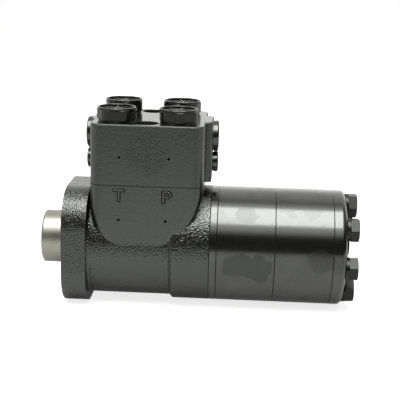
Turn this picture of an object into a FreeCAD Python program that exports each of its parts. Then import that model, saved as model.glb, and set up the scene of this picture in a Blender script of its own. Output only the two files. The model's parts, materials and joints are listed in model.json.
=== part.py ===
import FreeCAD, Part
import math
import os
import Sketcher

# Orbital steering unit, in millimetres. X runs along the shaft axis from the mounting face towards the gear
# sets, Z points up to the ports, and the origin is the centre of the mounting face on the shaft axis.

doc = FreeCAD.newDocument("steering_unit")
sizes = doc.addObject("Spreadsheet::Sheet", "sizes")
nodes = []
Vector = FreeCAD.Vector
ALONG = Vector(1, 0, 0)

DRIVING_SIZES = [
    # Fits shared by every pair of pieces
    ("running_gap", 0.04, "radial clearance of turning and sliding fits"),
    ("seat_gap", 0.05, "radial clearance of pieces pressed or screwed into the casting"),
    ("bolt_gap", 0.4, "radial clearance of the cover bolts in the gear stack"),
    ("edge_break", 0.4, "small chamfer that leaves the fine grooves between the stacked plates"),
    # Housing casting
    ("flange_stand", 0.2, "flats of the mounting flange beyond the barrel, so that the unit rests on one"),
    ("flange_thick", 18.6, "mounting flange"),
    ("flange_corner", 30, "corner radius of the flange"),
    ("mount_circle", 82.5, "bolt circle of the mounting holes"),
    ("mount_hole", 8.5, "tapping diameter of the four M10 mounting holes"),
    ("mount_depth", 16, "depth of the mounting holes"),
    ("neck_step", 2.5, "cast neck behind the flange below the barrel"),
    ("neck_fillet", 2.4, "cast fillet between flange and neck"),
    ("barrel_dia", 91, "machined barrel, gear rings and cover"),
    ("barrel_start", 81.5, "where the neck starts to widen to the barrel"),
    ("housing_length", 112.7, "mounting face to the rear face of the casting"),
    ("block_front", 41.7, "port block, from the middle of the ports to its flange side"),
    ("block_rear", 44, "port block, from the middle of the ports to its gear side"),
    ("block_inset", 3, "faces of the port block inside the barrel's radius"),
    ("block_top", 99.1, "height of the port face above the shaft axis"),
    ("block_corner", 8.5, "radius of the block's standing edges"),
    ("block_edge", 0.8, "chamfer round the port face"),
    ("shield_top", 52, "height where the gear side starts to narrow downwards"),
    ("shield_foot", 5, "height where the narrowed block runs out on the neck"),
    ("shield_radius", 60, "radius of the narrowing gear side"),
    ("shield_turn", 34, "height where the flange side starts to narrow"),
    ("shield_ease", 1.4, "radius of the flange side over the one that would arrive level"),
    ("pad_reach", 5.4, "machined valve pad beyond the block's gear side"),
    ("flange_pad_reach", 2.3, "machined valve pad beyond the block's flange side"),
    ("pad_width", 35, "valve pads across the shaft"),
    ("pad_corner", 4, "corner radius of the valve pads"),
    ("pad_bottom", 52.5, "height of the pads' lower face"),
    ("rivet_front", 19.1, "rivet holes from the middle of the ports to the flange side"),
    ("rivet_rear_high", 18.1, "upper rivet hole from the middle of the ports to the gear side"),
    ("rivet_rear_low", 16.4, "lower rivet hole from the middle of the ports to the gear side"),
    ("rivet_pitch_up", 48, "rivet holes up the face"),
    ("rivet_hole", 2, "rivet hole diameter"),
    ("rivet_depth", 5, "rivet hole depth"),
    ("rivet_centre_up", 50.4, "height of the middle of the rivet holes"),
    # Ports in the top face
    ("port_back", 50.1, "from the casting's rear face forward to the middle of the four ports"),
    ("port_pitch", 46.8, "port spacing, both ways"),
    ("port_bore", 18.6, "tapping diameter of the G1/2 ports"),
    ("port_depth", 18, "depth of the port thread"),
    ("passage_dia", 7.6, "drilled passage below a port"),
    ("passage_shift_along", 3.6, "passage beside the port axis, along the shaft"),
    ("passage_shift_across", 2, "passage beside the port axis, towards the middle"),
    ("passage_end", 18, "height where the passages end in the ring grooves"),
    ("check_bore", 10, "wider start of the pressure passage for the check valve"),
    ("check_bore_depth", 22, "length of that wider start"),
    ("block_bolt_pitch", 62, "tapped holes for a bolted-on valve block, across the shaft"),
    ("block_bolt_hole", 8.5, "tapping diameter of those M10 holes"),
    ("block_bolt_depth", 16, "depth of those holes below their spot faces"),
    ("spot_dia", 19, "round spot faces at those holes"),
    ("spot_depth", 1.8, "depth of the spot faces"),
    # Main bore
    ("bore_dia", 50, "sleeve bore"),
    ("groove_dia", 57, "ring grooves in the sleeve bore"),
    ("groove_width", 4.4, "width of the ring grooves"),
    ("dust_pocket_dia", 52, "pocket of the dust seal"),
    ("dust_pocket_depth", 6.6, "depth of the dust seal's pocket"),
    ("seal_wall", 3.6, "radial section of the shaft seal, and of its pocket round the stub"),
    ("seal_pocket_end", 13, "end of the shaft seal's pocket"),
    ("lip_dia", 44, "shoulder that the bearing leans on"),
    ("lip_end", 15, "end of that shoulder"),
    ("feed_circle", 54, "circle of the seven feed drillings"),
    ("feed_hole", 4.8, "diameter of the feed drillings"),
    ("feed_depth", 14, "depth of the feed drillings in the casting"),
    # Gear stack
    ("plate_thick", 5.5, "distributor plate"),
    ("ring_thick", 44.4, "one gear ring"),
    ("cover_thick", 10.2, "end cover"),
    ("cover_round", 4, "rounded edge of the end cover"),
    ("plate_bore", 30, "hole in the distributor plate for the cardan shaft"),
    ("roller_circle", 66, "circle of the ring's inner lobes"),
    ("roller_dia", 18, "diameter of the ring's inner lobes"),
    ("lobe_count", 7, "inner lobes of a ring, cover bolts and feed drillings"),
    ("orbit", 3, "offset of the star rotors from the shaft axis"),
    ("gear_gap", 0.08, "clearance between rotor and ring"),
    ("valley_gap", 0.15, "extra depth of the ring between its lobes"),
    ("valley_round", 1.6, "fillet where a lobe meets the valley"),
    ("end_gap", 0.04, "axial clearance of the rotors"),
    ("seal_groove_dia", 84, "mean diameter of the face seals"),
    ("seal_section", 1.5, "width and depth of the face seals"),
    # Cover bolts
    ("bolt_circle", 68.4, "circle of the cover bolts"),
    ("bolt_dia", 10, "cover bolts"),
    ("bolt_grip", 17, "length of bolt in the casting"),
    ("head_flats", 17, "hexagon of the cover bolts"),
    ("head_height", 6.6, "hexagon of the cover bolts"),
    ("head_face", 0.8, "round face under the hexagon"),
    ("head_slope", 0.75, "height of the sloping corners on the hexagon"),
    ("washer_dia", 18.6, "washers of the cover bolts"),
    ("washer_thick", 2, "washers of the cover bolts"),
    # Rotating group
    ("stub_dia", 41.8, "input stub"),
    ("stub_length", 20.4, "input stub beyond the mounting face"),
    ("stub_chamfer", 1.6, "edge of the input stub"),
    ("stub_end", 20.6, "end of the stub diameter inside the housing"),
    ("spool_dia", 40, "spool inside the sleeve"),
    ("spool_clear", 0.5, "gap between spool and distributor plate"),
    ("spool_bore", 27, "hollow of the spool round the cardan shaft"),
    ("spool_bore_start", 20, "bottom of that hollow"),
    ("socket_mouth_dia", 21.6, "plain mouth of the input socket"),
    ("socket_mouth_depth", 6, "depth of the plain mouth"),
    ("socket_minor", 16.8, "tips of the input socket's teeth"),
    ("socket_major", 20.4, "roots of the input socket's teeth"),
    ("socket_end", 12, "bottom of the input socket"),
    ("spline_teeth", 12, "teeth of the input socket, cardan head and rotor bore"),
    ("sleeve_clear", 0.3, "gap between sleeve and distributor plate"),
    ("spring_slot_at", 27.5, "middle of the leaf springs along the shaft"),
    ("spring_slot_length", 7, "leaf spring slot along the shaft"),
    ("spring_slot_width", 7.2, "leaf spring slot round the shaft"),
    ("leaf_thick", 0.7, "one leaf spring"),
    ("leaf_bow", 1.2, "rise of a curved leaf spring"),
    ("pin_at", 56, "cross pin along the shaft"),
    ("pin_dia", 8, "cross pin"),
    ("spool_turn", 10, "degrees that the spool turns in the sleeve each way"),
    ("turn_play", 0.3, "play left at that stop"),
    ("sleeve_hole", 3.2, "radial holes in the sleeve"),
    ("sleeve_groove_depth", 1.2, "ring grooves on the sleeve"),
    ("commutator_at", 101, "row of twelve commutator holes"),
    ("spool_groove_width", 4, "long grooves on the spool"),
    ("spool_groove_depth", 1.8, "long grooves on the spool"),
    ("spool_groove_start", 64, "long grooves on the spool"),
    # Thrust bearing
    ("race_thick", 1.9, "races of the thrust bearing"),
    ("race_bore", 42.8, "bore of the races and the cage"),
    ("needle_dia", 2, "needles"),
    ("needle_length", 2.2, "needles"),
    ("needle_count", 12, "needles"),
    ("cage_thick", 1.4, "needle cage"),
    # Cardan shaft
    ("cardan_shank", 17, "diameter of the cardan's shank"),
    ("cardan_ball", 24.8, "diameter of the slotted end"),
    ("cardan_ball_half", 11, "half length of the slotted end"),
    ("cardan_head", 25.8, "diameter over the head's teeth"),
    ("cardan_root", 21.4, "diameter at the roots of the head's teeth"),
    ("cardan_head_half", 9, "half length of the toothed head"),
    ("cardan_tail", 14.6, "diameter of the tail that reaches the spacer"),
    ("cardan_slot_gap", 0.1, "clearance of the cross pin in the slot"),
    ("cardan_bottom_gap", 0.7, "clearance of the cross pin at the slot's bottom"),
    ("rotor_spline_major", 26.8, "roots of the rotor's inner teeth"),
    ("rotor_spline_minor", 22.4, "tips of the rotor's inner teeth"),
    ("tooth_gap", 0.36, "clearance beside each tooth"),
    ("spacer_thick", 5, "drive spacer"),
    ("spacer_gap", 0.15, "clearance of the drive spacer in the rotor"),
    # Valves in the port block
    ("valve_high", 86.2, "height of the relief and shock valves"),
    ("valve_low", 65.9, "height of the suction valves"),
    ("big_thread", 19, "bore of the big valve plugs"),
    ("big_thread_depth", 15, "depth of that bore"),
    ("big_chamber", 13, "spring chamber behind it"),
    ("big_chamber_depth", 34, "end of the spring chamber"),
    ("big_head", 24, "head of the big plugs"),
    ("small_thread", 12, "bore of the small valve plugs"),
    ("small_thread_depth", 11, "depth of that bore"),
    ("small_chamber", 8.8, "spring chamber behind it"),
    ("small_chamber_depth", 28, "end of the spring chamber"),
    ("small_head", 16, "head of the small plugs"),
    ("plug_head_thick", 3.6, "heads of the valve plugs"),
    ("plug_washer_thick", 0.9, "seal washers of the valve plugs"),
    ("cross_line", 4, "drillings between the valves and to the ports"),
    ("socket_share", 0.42, "hexagon socket as a share of a plug head"),
    ("seat_length", 5, "seat bushes"),
    ("seat_hole_share", 0.4, "hole of a seat bush as a share of its diameter"),
    ("wire_dia", 1.2, "valve springs"),
    ("spring_coils", 3.5, "valve springs"),
    ("poppet_travel", 1.2, "travel of the poppets and balls from their seats"),
    ("suction_ball", 7.2, "balls of the suction valves"),
    ("check_ball", 8.5, "ball of the check valve"),
    ("check_travel", 2.5, "travel of the check ball"),
    ("check_pin", 2.5, "roll pin below the check ball"),
    # Port plugs
    ("port_plug_flats", 28, "hexagon of the port plugs"),
    ("port_plug_corner", 6.5, "rounded corners of that hexagon"),
    ("port_plug_height", 9.2, "head of the port plugs"),
    ("port_plug_rim", 29.2, "round rim on the head"),
    ("port_plug_rim_height", 1.6, "round rim on the head"),
    ("port_plug_wall", 1.7, "wall of the rim"),
    ("port_plug_recess", 4.2, "depth of the hollow top"),
    ("port_plug_shank", 11, "length of the shank in the port"),
    ("port_seal_thick", 1.7, "seal ring under the head"),
    ("port_seal_dia", 27.6, "seal ring under the head"),
]


def fill_sheet():
    """Writes every driving size into the sheet with its name and its meaning."""
    for row, (alias, value, meaning) in enumerate(DRIVING_SIZES, start=1):
        sizes.set(f"A{row}", alias)
        sizes.set(f"B{row}", str(value))
        sizes.setAlias(f"B{row}", alias)
        sizes.set(f"C{row}", meaning)
    doc.recompute()


def number(text):
    """Value of an expression of the sheet, for shapes that need plain numbers."""
    value = sizes.evalExpression(text)
    return float(getattr(value, "Value", value))


fill_sheet()

# Places along the shaft, each worked out from the driving sizes.
PLATE_END = "(sizes.housing_length + sizes.plate_thick)"
FRONT_RING_END = f"({PLATE_END} + sizes.ring_thick)"
REAR_RING_END = f"({FRONT_RING_END} + sizes.ring_thick)"
COVER_END = f"({REAR_RING_END} + sizes.cover_thick)"
PORT_CENTRE = "(sizes.housing_length - sizes.port_back)"
BLOCK_LEFT = f"({PORT_CENTRE} - sizes.block_front)"
BLOCK_RIGHT = f"({PORT_CENTRE} + sizes.block_rear)"
SEAL_POCKET = "(sizes.stub_dia / 2 + sizes.seal_wall)"
FLANGE_PAD_FACE = f"({BLOCK_LEFT} - sizes.flange_pad_reach)"
PAD_FACE = f"({BLOCK_RIGHT} + sizes.pad_reach)"
FLANGE_HALF = "(sizes.barrel_dia / 2 + sizes.flange_stand)"
NECK_RADIUS = "(sizes.barrel_dia / 2 - sizes.neck_step)"
BLOCK_HALF = "(sizes.barrel_dia / 2 - sizes.block_inset)"
SHIELD_RUN = ("(sizes.shield_radius - sqrt(sizes.shield_radius ^ 2"
              " - (sizes.shield_top - sizes.shield_foot) ^ 2))")
TURN_RADIUS = "(sizes.shield_ease * (sizes.shield_turn - sizes.shield_foot))"
TURN_RUN = f"({TURN_RADIUS} * (1 - sqrt(1 - 1 / sizes.shield_ease ^ 2)))"
CAGE_START = "(sizes.lip_end + sizes.race_thick)"
CAGE_MIDDLE = f"({CAGE_START} + sizes.needle_dia / 2 + sizes.running_gap)"
INNER_RACE_START = f"({CAGE_START} + sizes.needle_dia + 2 * sizes.running_gap)"
SLEEVE_START = f"({INNER_RACE_START} + sizes.race_thick)"
SLEEVE_END = "(sizes.housing_length - sizes.sleeve_clear)"
SPOOL_END = "(sizes.housing_length - sizes.spool_clear)"
RACE_RADIUS = "(sizes.bore_dia / 2 - 2 * sizes.running_gap)"
VALLEY_RADIUS = "((sizes.roller_circle - sizes.roller_dia) / 2 + 2 * sizes.orbit + sizes.valley_gap)"
HEAD_MIDDLE = f"({FRONT_RING_END})"
CARDAN_REACH = f"({HEAD_MIDDLE} - sizes.pin_at)"
CARDAN_TILT = f"atan(sizes.orbit / {CARDAN_REACH})"
SPACER_START = f"({REAR_RING_END} - sizes.end_gap - sizes.spacer_thick)"
HEAD_START = f"({COVER_END} + sizes.washer_thick)"
# The port passages end in ring grooves: tank, left, right and pressure, counted from the input end.
PORT_NEAR = f"({PORT_CENTRE} - sizes.port_pitch / 2)"
PORT_FAR = f"({PORT_CENTRE} + sizes.port_pitch / 2)"
GROOVE_PLACES = [
    f"({PORT_NEAR} - sizes.passage_shift_along)",
    f"({PORT_NEAR} + sizes.passage_shift_along)",
    f"({PORT_FAR} - sizes.passage_shift_along)",
    f"({PORT_FAR} + sizes.passage_shift_along)",
]
PORTS = {
    "t": (PORT_NEAR, -1, GROOVE_PLACES[0]),
    "p": (PORT_FAR, -1, GROOVE_PLACES[3]),
    "l": (PORT_NEAR, 1, GROOVE_PLACES[1]),
    "r": (PORT_FAR, 1, GROOVE_PLACES[2]),
}
PASSAGE_ACROSS = "(sizes.port_pitch / 2 - sizes.passage_shift_across)"
# Arcs that follow the star curve for each of its tips.
STAR_ARCS = 10


def new_body(label):
    """A body whose label names the piece and its file."""
    body = doc.addObject("PartDesign::Body", label)
    body.Label = label
    nodes.append(body)
    return body


def origin_part(body, role):
    return next(part for part in body.Origin.OriginFeatures if part.Role == role)


def new_sketch(body, name, plane, lift="0"):
    """An empty sketch on one of the body's own planes, lifted along the plane's normal."""
    sketch = body.newObject("Sketcher::SketchObject", name)
    sketch.AttachmentSupport = [(origin_part(body, plane), "")]
    sketch.MapMode = "FlatFace"
    sketch.setExpression("AttachmentOffset.Base.z", lift)
    return sketch


def bind(sketch, kind, *where, text):
    """Adds a dimension whose value follows an expression of the sheet."""
    index = sketch.addConstraint(Sketcher.Constraint(kind, *where, number(text)))
    sketch.setExpression(f"Constraints[{index}]", text)


def arc_between(start, end, radius):
    """Short arc from start to end, bulging to the right of the way, or to the left if radius is negative."""
    size = abs(radius)
    chord = end - start
    middle = (start + end) * 0.5
    right = Vector(chord.y, -chord.x, 0).normalize()
    inset = math.sqrt(max(size ** 2 - (chord.Length / 2) ** 2, 0))
    centre = middle - right * inset * (1 if radius > 0 else -1)
    angles = [math.atan2(p.y - centre.y, p.x - centre.x) for p in (start, end)]
    forward = radius > 0
    first, last = angles if forward else reversed(angles)
    if last < first:
        last += 2 * math.pi
    circle = Part.Circle(centre, Vector(0, 0, 1), size)
    return Part.ArcOfCircle(circle, first, last), (1, 2) if forward else (2, 1)


def add_outline(sketch, corners):
    """Closed outline through corners (across, up) or (across, up, radius of the arc to the next corner)."""
    count = len(corners)
    first = sketch.GeometryCount
    places = [Vector(number(c[0]), number(c[1]), 0) for c in corners]
    ends = []
    for k, corner in enumerate(corners):
        start, end = places[k], places[(k + 1) % count]
        if len(corner) == 2:
            sketch.addGeometry(Part.LineSegment(start, end), False)
            ends.append((1, 2))
        else:
            arc, order = arc_between(start, end, number(corner[2]))
            sketch.addGeometry(arc, False)
            ends.append(order)
    for k in range(count):
        following = (k + 1) % count
        sketch.addConstraint(
            Sketcher.Constraint("Coincident", first + k, ends[k][1], first + following, ends[following][0]))
    for k, corner in enumerate(corners):
        bind(sketch, "DistanceX", -1, 1, first + k, ends[k][0], text=corner[0])
        bind(sketch, "DistanceY", -1, 1, first + k, ends[k][0], text=corner[1])
        if len(corner) == 3:
            bind(sketch, "Radius", first + k, text=f"abs({corner[2]})")


def add_circle(sketch, across, up, radius):
    """Circle whose centre and radius follow expressions."""
    circle = Part.Circle(Vector(number(across), number(up), 0), Vector(0, 0, 1), number(radius))
    index = sketch.addGeometry(circle, False)
    bind(sketch, "DistanceX", -1, 1, index, 3, text=across)
    bind(sketch, "DistanceY", -1, 1, index, 3, text=up)
    bind(sketch, "Radius", index, text=radius)


def pad(body, name, sketch, length, side="One side"):
    feature = body.newObject("PartDesign::Pad", name)
    feature.Profile = sketch
    feature.SideType = side
    feature.setExpression("Length", length)
    return feature


def pocket(body, name, sketch, depth, side="One side", reverse=False):
    """Cuts against the sketch's normal, along it when reversed, or both ways."""
    feature = body.newObject("PartDesign::Pocket", name)
    feature.Profile = sketch
    feature.SideType = side
    feature.Reversed = reverse
    feature.setExpression("Length", depth)
    return feature


def revolve(body, name, sketch, axis="H_Axis", cut=False):
    feature = body.newObject("PartDesign::Groove" if cut else "PartDesign::Revolution", name)
    feature.Profile = sketch
    feature.ReferenceAxis = (sketch, [axis])
    feature.Angle = 360
    return feature


def round_pattern(body, name, features, count, angle=360, axis="X_Axis"):
    """Repeats features round one of the body's own axes."""
    pattern = body.newObject("PartDesign::PolarPattern", name)
    pattern.Originals = features
    pattern.Axis = (origin_part(body, axis), [""])
    pattern.Angle = angle
    pattern.setExpression("Occurrences", count)
    body.Tip = pattern
    return pattern


def edges_where(feature, test):
    """Names of a feature's edges whose middle point passes a test."""
    doc.recompute()
    chosen = []
    for k, edge in enumerate(feature.Shape.Edges, start=1):
        middle = edge.valueAt((edge.FirstParameter + edge.LastParameter) / 2)
        if test(edge, middle):
            chosen.append(f"Edge{k}")
    return chosen


def fillet(body, name, feature, test, radius):
    dressed = body.newObject("PartDesign::Fillet", name)
    dressed.Base = (feature, edges_where(feature, test))
    dressed.setExpression("Radius", radius)
    return dressed


def chamfer(body, name, feature, test, size):
    dressed = body.newObject("PartDesign::Chamfer", name)
    dressed.Base = (feature, edges_where(feature, test))
    dressed.setExpression("Size", size)
    return dressed


def turned(label, corners, axis="H_Axis", plane="XZ_Plane"):
    """A turned piece: an outline (along, radius) revolved about the shaft direction."""
    body = new_body(label)
    profile = new_sketch(body, f"{label}_profile", plane)
    add_outline(profile, corners)
    revolve(body, f"{label}_turned", profile, axis)
    return body


def place(body, x="0", y="0", z="0", axis=Vector(0, 0, 1), angle="0"):
    """Moves a piece to its place by expressions."""
    body.Placement = FreeCAD.Placement(Vector(), FreeCAD.Rotation(axis, 0))
    body.setExpression("Placement.Base.x", x)
    body.setExpression("Placement.Base.y", y)
    body.setExpression("Placement.Base.z", z)
    body.Placement.Rotation = FreeCAD.Rotation(axis, number(angle))


def solid_of(label, shape, spot=Vector(), turn=0):
    """A piece whose shape comes from a formula, turned about Z and moved to its spot."""
    feature = doc.addObject("Part::Feature", label)
    feature.Label = label
    feature.Shape = shape
    turned_round = FreeCAD.Rotation(Vector(0, 0, 1), turn)
    feature.Placement = FreeCAD.Placement(spot, turned_round).multiply(shape.Placement)
    nodes.append(feature)


def polygon_face(points):
    return Part.Face(Part.makePolygon(points + points[:1]))


def ring_corners(start, end, inner, outer, edge="0"):
    """Outline of a ring: along the shaft from start to end, with broken outer edges if asked."""
    if edge == "0":
        return [(start, inner), (end, inner), (end, outer), (start, outer)]
    return [
        (start, inner), (end, inner), (end, f"{outer} - {edge}"), (f"{end} - {edge}", outer),
        (f"{start} + {edge}", outer), (start, f"{outer} - {edge}"),
    ]


# Housing casting


def housing_block(body):
    """Port block, narrowing downwards like a shield, less so on the flange side, with rounded edges."""
    outline = new_sketch(body, "block_outline", "XZ_Plane")
    add_outline(outline, [
        (BLOCK_LEFT, "sizes.block_top"),
        (BLOCK_LEFT, "sizes.shield_turn", TURN_RADIUS),
        (f"{BLOCK_LEFT} + {TURN_RUN}", "sizes.shield_foot"),
        (f"{BLOCK_RIGHT} - {SHIELD_RUN}", "sizes.shield_foot", "sizes.shield_radius"),
        (BLOCK_RIGHT, "sizes.shield_top"),
        (BLOCK_RIGHT, "sizes.block_top"),
    ])
    block = pad(body, "block", outline, f"2 * {BLOCK_HALF}", "Symmetric")
    half = number(BLOCK_HALF)
    foot = number("sizes.shield_foot")
    top = number("sizes.block_top")
    return fillet(
        body, "block_edges", block,
        lambda edge, p: abs(abs(p.y) - half) < 1e-6 and foot + 0.1 < p.z < top - 0.1,
        "sizes.block_corner")


def housing_flange(body):
    outline = new_sketch(body, "flange_outline", "YZ_Plane")
    half = FLANGE_HALF
    flat = f"({half} - sizes.flange_corner)"
    bend = "sizes.flange_corner"
    add_outline(outline, [
        (flat, f"-{half}", bend), (half, f"-{flat}"), (half, flat, bend), (flat, half),
        (f"-{flat}", half, bend), (f"-{half}", flat), (f"-{half}", f"-{flat}", bend), (f"-{flat}", f"-{half}"),
    ])
    pad(body, "flange", outline, "sizes.flange_thick")


def housing_barrel(body):
    """Neck with its cast fillet at the flange, then the step up to the barrel."""
    neck = NECK_RADIUS
    barrel = "sizes.barrel_dia / 2"
    outline = new_sketch(body, "barrel_outline", "XZ_Plane")
    add_outline(outline, [
        ("sizes.flange_thick / 2", "0"),
        ("sizes.housing_length", "0"),
        ("sizes.housing_length", f"{barrel} - sizes.edge_break"),
        ("sizes.housing_length - sizes.edge_break", barrel),
        (f"sizes.barrel_start + sizes.neck_step", barrel),
        ("sizes.barrel_start", neck),
        ("sizes.flange_thick + sizes.neck_fillet", neck, "-sizes.neck_fillet"),
        ("sizes.flange_thick", f"{neck} + sizes.neck_fillet"),
        ("sizes.flange_thick / 2", f"{neck} + sizes.neck_fillet"),
    ])
    revolve(body, "barrel", outline)


def housing_pads(body):
    """Machined pads for the valve plugs on both sides of the block."""
    half = "sizes.pad_width / 2"
    bend = "sizes.pad_corner"
    root = f"{BLOCK_RIGHT} - sizes.pad_corner"
    far_root = f"{BLOCK_LEFT} + sizes.pad_corner"
    outlines = {
        "valve_pad": [
            (root, f"-{half}"), (f"{PAD_FACE} - {bend}", f"-{half}", bend), (PAD_FACE, f"-{half} + {bend}"),
            (PAD_FACE, f"{half} - {bend}", bend), (f"{PAD_FACE} - {bend}", half), (root, half),
        ],
        "flange_side_pad": [
            (far_root, half), (f"{FLANGE_PAD_FACE} + {bend}", half, bend), (FLANGE_PAD_FACE, f"{half} - {bend}"),
            (FLANGE_PAD_FACE, f"-{half} + {bend}", bend), (f"{FLANGE_PAD_FACE} + {bend}", f"-{half}"),
            (far_root, f"-{half}"),
        ],
    }
    for name, corners in outlines.items():
        outline = new_sketch(body, f"{name}_outline", "XY_Plane", "sizes.pad_bottom")
        add_outline(outline, corners)
        valve_pad = pad(body, name, outline, "sizes.block_top - sizes.pad_bottom")
    top = number("sizes.block_top")
    return chamfer(
        body, "port_face_edge", valve_pad,
        lambda edge, p: all(abs(v.Z - top) < 1e-6 for v in edge.Vertexes), "sizes.block_edge")


def housing_bore(body):
    """Seal pockets, bearing shoulder and sleeve bore with its ring grooves, cut in one turn."""
    outline = new_sketch(body, "bore_outline", "XZ_Plane")
    bore = "sizes.bore_dia / 2"
    corners = [
        ("-1", "0"),
        ("-1", "sizes.dust_pocket_dia / 2"),
        ("sizes.dust_pocket_depth", "sizes.dust_pocket_dia / 2"),
        ("sizes.dust_pocket_depth", SEAL_POCKET),
        ("sizes.seal_pocket_end", SEAL_POCKET),
        ("sizes.seal_pocket_end", "sizes.lip_dia / 2"),
        ("sizes.lip_end", "sizes.lip_dia / 2"),
        ("sizes.lip_end", bore),
    ]
    for middle in GROOVE_PLACES:
        near = f"{middle} - sizes.groove_width / 2"
        far = f"{middle} + sizes.groove_width / 2"
        deep = "sizes.groove_dia / 2"
        corners += [(near, bore), (near, deep), (far, deep), (far, bore)]
    corners += [("sizes.housing_length + 1", bore), ("sizes.housing_length + 1", "0")]
    add_outline(outline, corners)
    revolve(body, "main_bore", outline, cut=True)


def housing_ports(body):
    """Port threads in the top face and the drilled passages to the ring grooves."""
    threads = new_sketch(body, "port_threads", "XY_Plane", "sizes.block_top")
    passages = new_sketch(body, "port_passages", "XY_Plane", "sizes.block_top")
    for x, side, groove in PORTS.values():
        add_circle(threads, x, f"{side} * sizes.port_pitch / 2", "sizes.port_bore / 2")
        add_circle(passages, groove, f"{side} * {PASSAGE_ACROSS}", "sizes.passage_dia / 2")
    pocket(body, "ports", threads, "sizes.port_depth")
    pocket(body, "passages", passages, "sizes.block_top - sizes.passage_end")
    check = new_sketch(body, "check_outline", "XY_Plane", "sizes.block_top")
    add_circle(check, PORTS["p"][2], f"-{PASSAGE_ACROSS}", "sizes.check_bore / 2")
    pocket(body, "check_bore", check, "sizes.port_depth + sizes.check_bore_depth")


def housing_valve_bores(body):
    """Stepped bores of the four valves, two from each side of the block."""
    for name, face, inward in (("left", FLANGE_PAD_FACE, True), ("right", PAD_FACE, False)):
        for size, height in (("big", "sizes.valve_high"), ("small", "sizes.valve_low")):
            for step in ("thread", "chamber"):
                sketch = new_sketch(body, f"{name}_{size}_{step}", "YZ_Plane", face)
                add_circle(sketch, "0", height, f"sizes.{size}_{step} / 2")
                pocket(body, f"{name}_{size}_{step}_bore", sketch, f"sizes.{size}_{step}_depth", reverse=inward)


def housing_cross_lines(body):
    """Drillings that join the valves of a pair and lead from the valves to the ports beside them."""
    bore = "sizes.cross_line / 2"
    for size in ("big", "small"):
        height = "sizes.valve_high" if size == "big" else "sizes.valve_low"
        start = f"{FLANGE_PAD_FACE} + sizes.{size}_chamber_depth"
        line = new_sketch(body, f"{size}_line_outline", "YZ_Plane", start)
        add_circle(line, "0", height, bore)
        length = f"{PAD_FACE} - sizes.{size}_chamber_depth - ({start})"
        pocket(body, f"{size}_line", line, length, reverse=True)
    to_front = new_sketch(body, "front_line_outline", "XZ_Plane")
    add_circle(to_front, PORT_NEAR, "sizes.valve_high", bore)
    add_circle(to_front, PORT_FAR, "sizes.valve_high", bore)
    pocket(body, "front_lines", to_front, "sizes.port_pitch / 2", reverse=True)
    to_rear = new_sketch(body, "rear_line_outline", "XZ_Plane")
    add_circle(to_rear, GROOVE_PLACES[1], "sizes.valve_low", bore)
    add_circle(to_rear, GROOVE_PLACES[2], "sizes.valve_low", bore)
    pocket(body, "rear_lines", to_rear, PASSAGE_ACROSS)


def housing_screw_holes(body):
    """Four mounting holes, the cover bolt holes and the feed drillings between them."""
    mount = new_sketch(body, "mount_hole_outline", "YZ_Plane")
    radius = "sizes.mount_circle / 2"
    add_circle(mount, f"{radius} * cos(45)", f"{radius} * sin(45)", "sizes.mount_hole / 2")
    first = pocket(body, "mount_hole", mount, "sizes.mount_depth", reverse=True)
    round_pattern(body, "mount_holes", [first], "4")
    bolt = new_sketch(body, "bolt_hole_outline", "YZ_Plane", "sizes.housing_length")
    add_circle(bolt, "0", "sizes.bolt_circle / 2", "sizes.bolt_dia / 2")
    first = pocket(body, "bolt_hole", bolt, "sizes.bolt_grip")
    round_pattern(body, "bolt_holes", [first], "sizes.lobe_count")
    feed = new_sketch(body, "feed_hole_outline", "YZ_Plane", "sizes.housing_length")
    add_circle(feed, "0", "-sizes.feed_circle / 2", "sizes.feed_hole / 2")
    first = pocket(body, "feed_hole", feed, "sizes.feed_depth")
    round_pattern(body, "feed_holes", [first], "sizes.lobe_count")


def housing_spot_faces(body):
    """Two spot faces between the ports, each with a tapped hole, where a valve block can be bolted on."""
    spots = new_sketch(body, "spot_outline", "XY_Plane", "sizes.block_top")
    holes = new_sketch(body, "block_bolt_outline", "XY_Plane", "sizes.block_top")
    for side in (-1, 1):
        across = f"{side} * sizes.block_bolt_pitch / 2"
        add_circle(spots, PORT_CENTRE, across, "sizes.spot_dia / 2")
        add_circle(holes, PORT_CENTRE, across, "sizes.block_bolt_hole / 2")
    pocket(body, "spot_faces", spots, "sizes.spot_depth")
    pocket(body, "block_bolt_holes", holes, "sizes.spot_depth + sizes.block_bolt_depth")


def housing_rivet_holes(body):
    sketch = new_sketch(body, "rivet_hole_outline", "XZ_Plane", BLOCK_HALF)
    for rise, rear in ((-1, "sizes.rivet_rear_low"), (1, "sizes.rivet_rear_high")):
        z = f"sizes.rivet_centre_up + {rise} * sizes.rivet_pitch_up / 2"
        for x in (f"{PORT_CENTRE} - sizes.rivet_front", f"{PORT_CENTRE} + {rear}"):
            add_circle(sketch, x, z, "sizes.rivet_hole / 2")
    pocket(body, "rivet_holes", sketch, "sizes.rivet_depth")


def seal_groove(body, face):
    """Square groove for a face seal, open towards the input end at the given face."""
    sketch = new_sketch(body, "seal_groove_outline", "XZ_Plane")
    inner = "sizes.seal_groove_dia / 2 - sizes.seal_section / 2 - sizes.seat_gap"
    outer = "sizes.seal_groove_dia / 2 + sizes.seal_section / 2 + sizes.seat_gap"
    start = f"{face} - 1"
    end = f"{face} + sizes.seal_section + sizes.seat_gap"
    add_outline(sketch, [(start, inner), (end, inner), (end, outer), (start, outer)])
    return revolve(body, "seal_groove", sketch, cut=True)


def make_housing():
    body = new_body("housing")
    housing_block(body)
    housing_flange(body)
    housing_barrel(body)
    housing_pads(body)
    housing_bore(body)
    housing_ports(body)
    housing_valve_bores(body)
    housing_cross_lines(body)
    housing_screw_holes(body)
    housing_spot_faces(body)
    housing_rivet_holes(body)


# Gear stack


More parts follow.
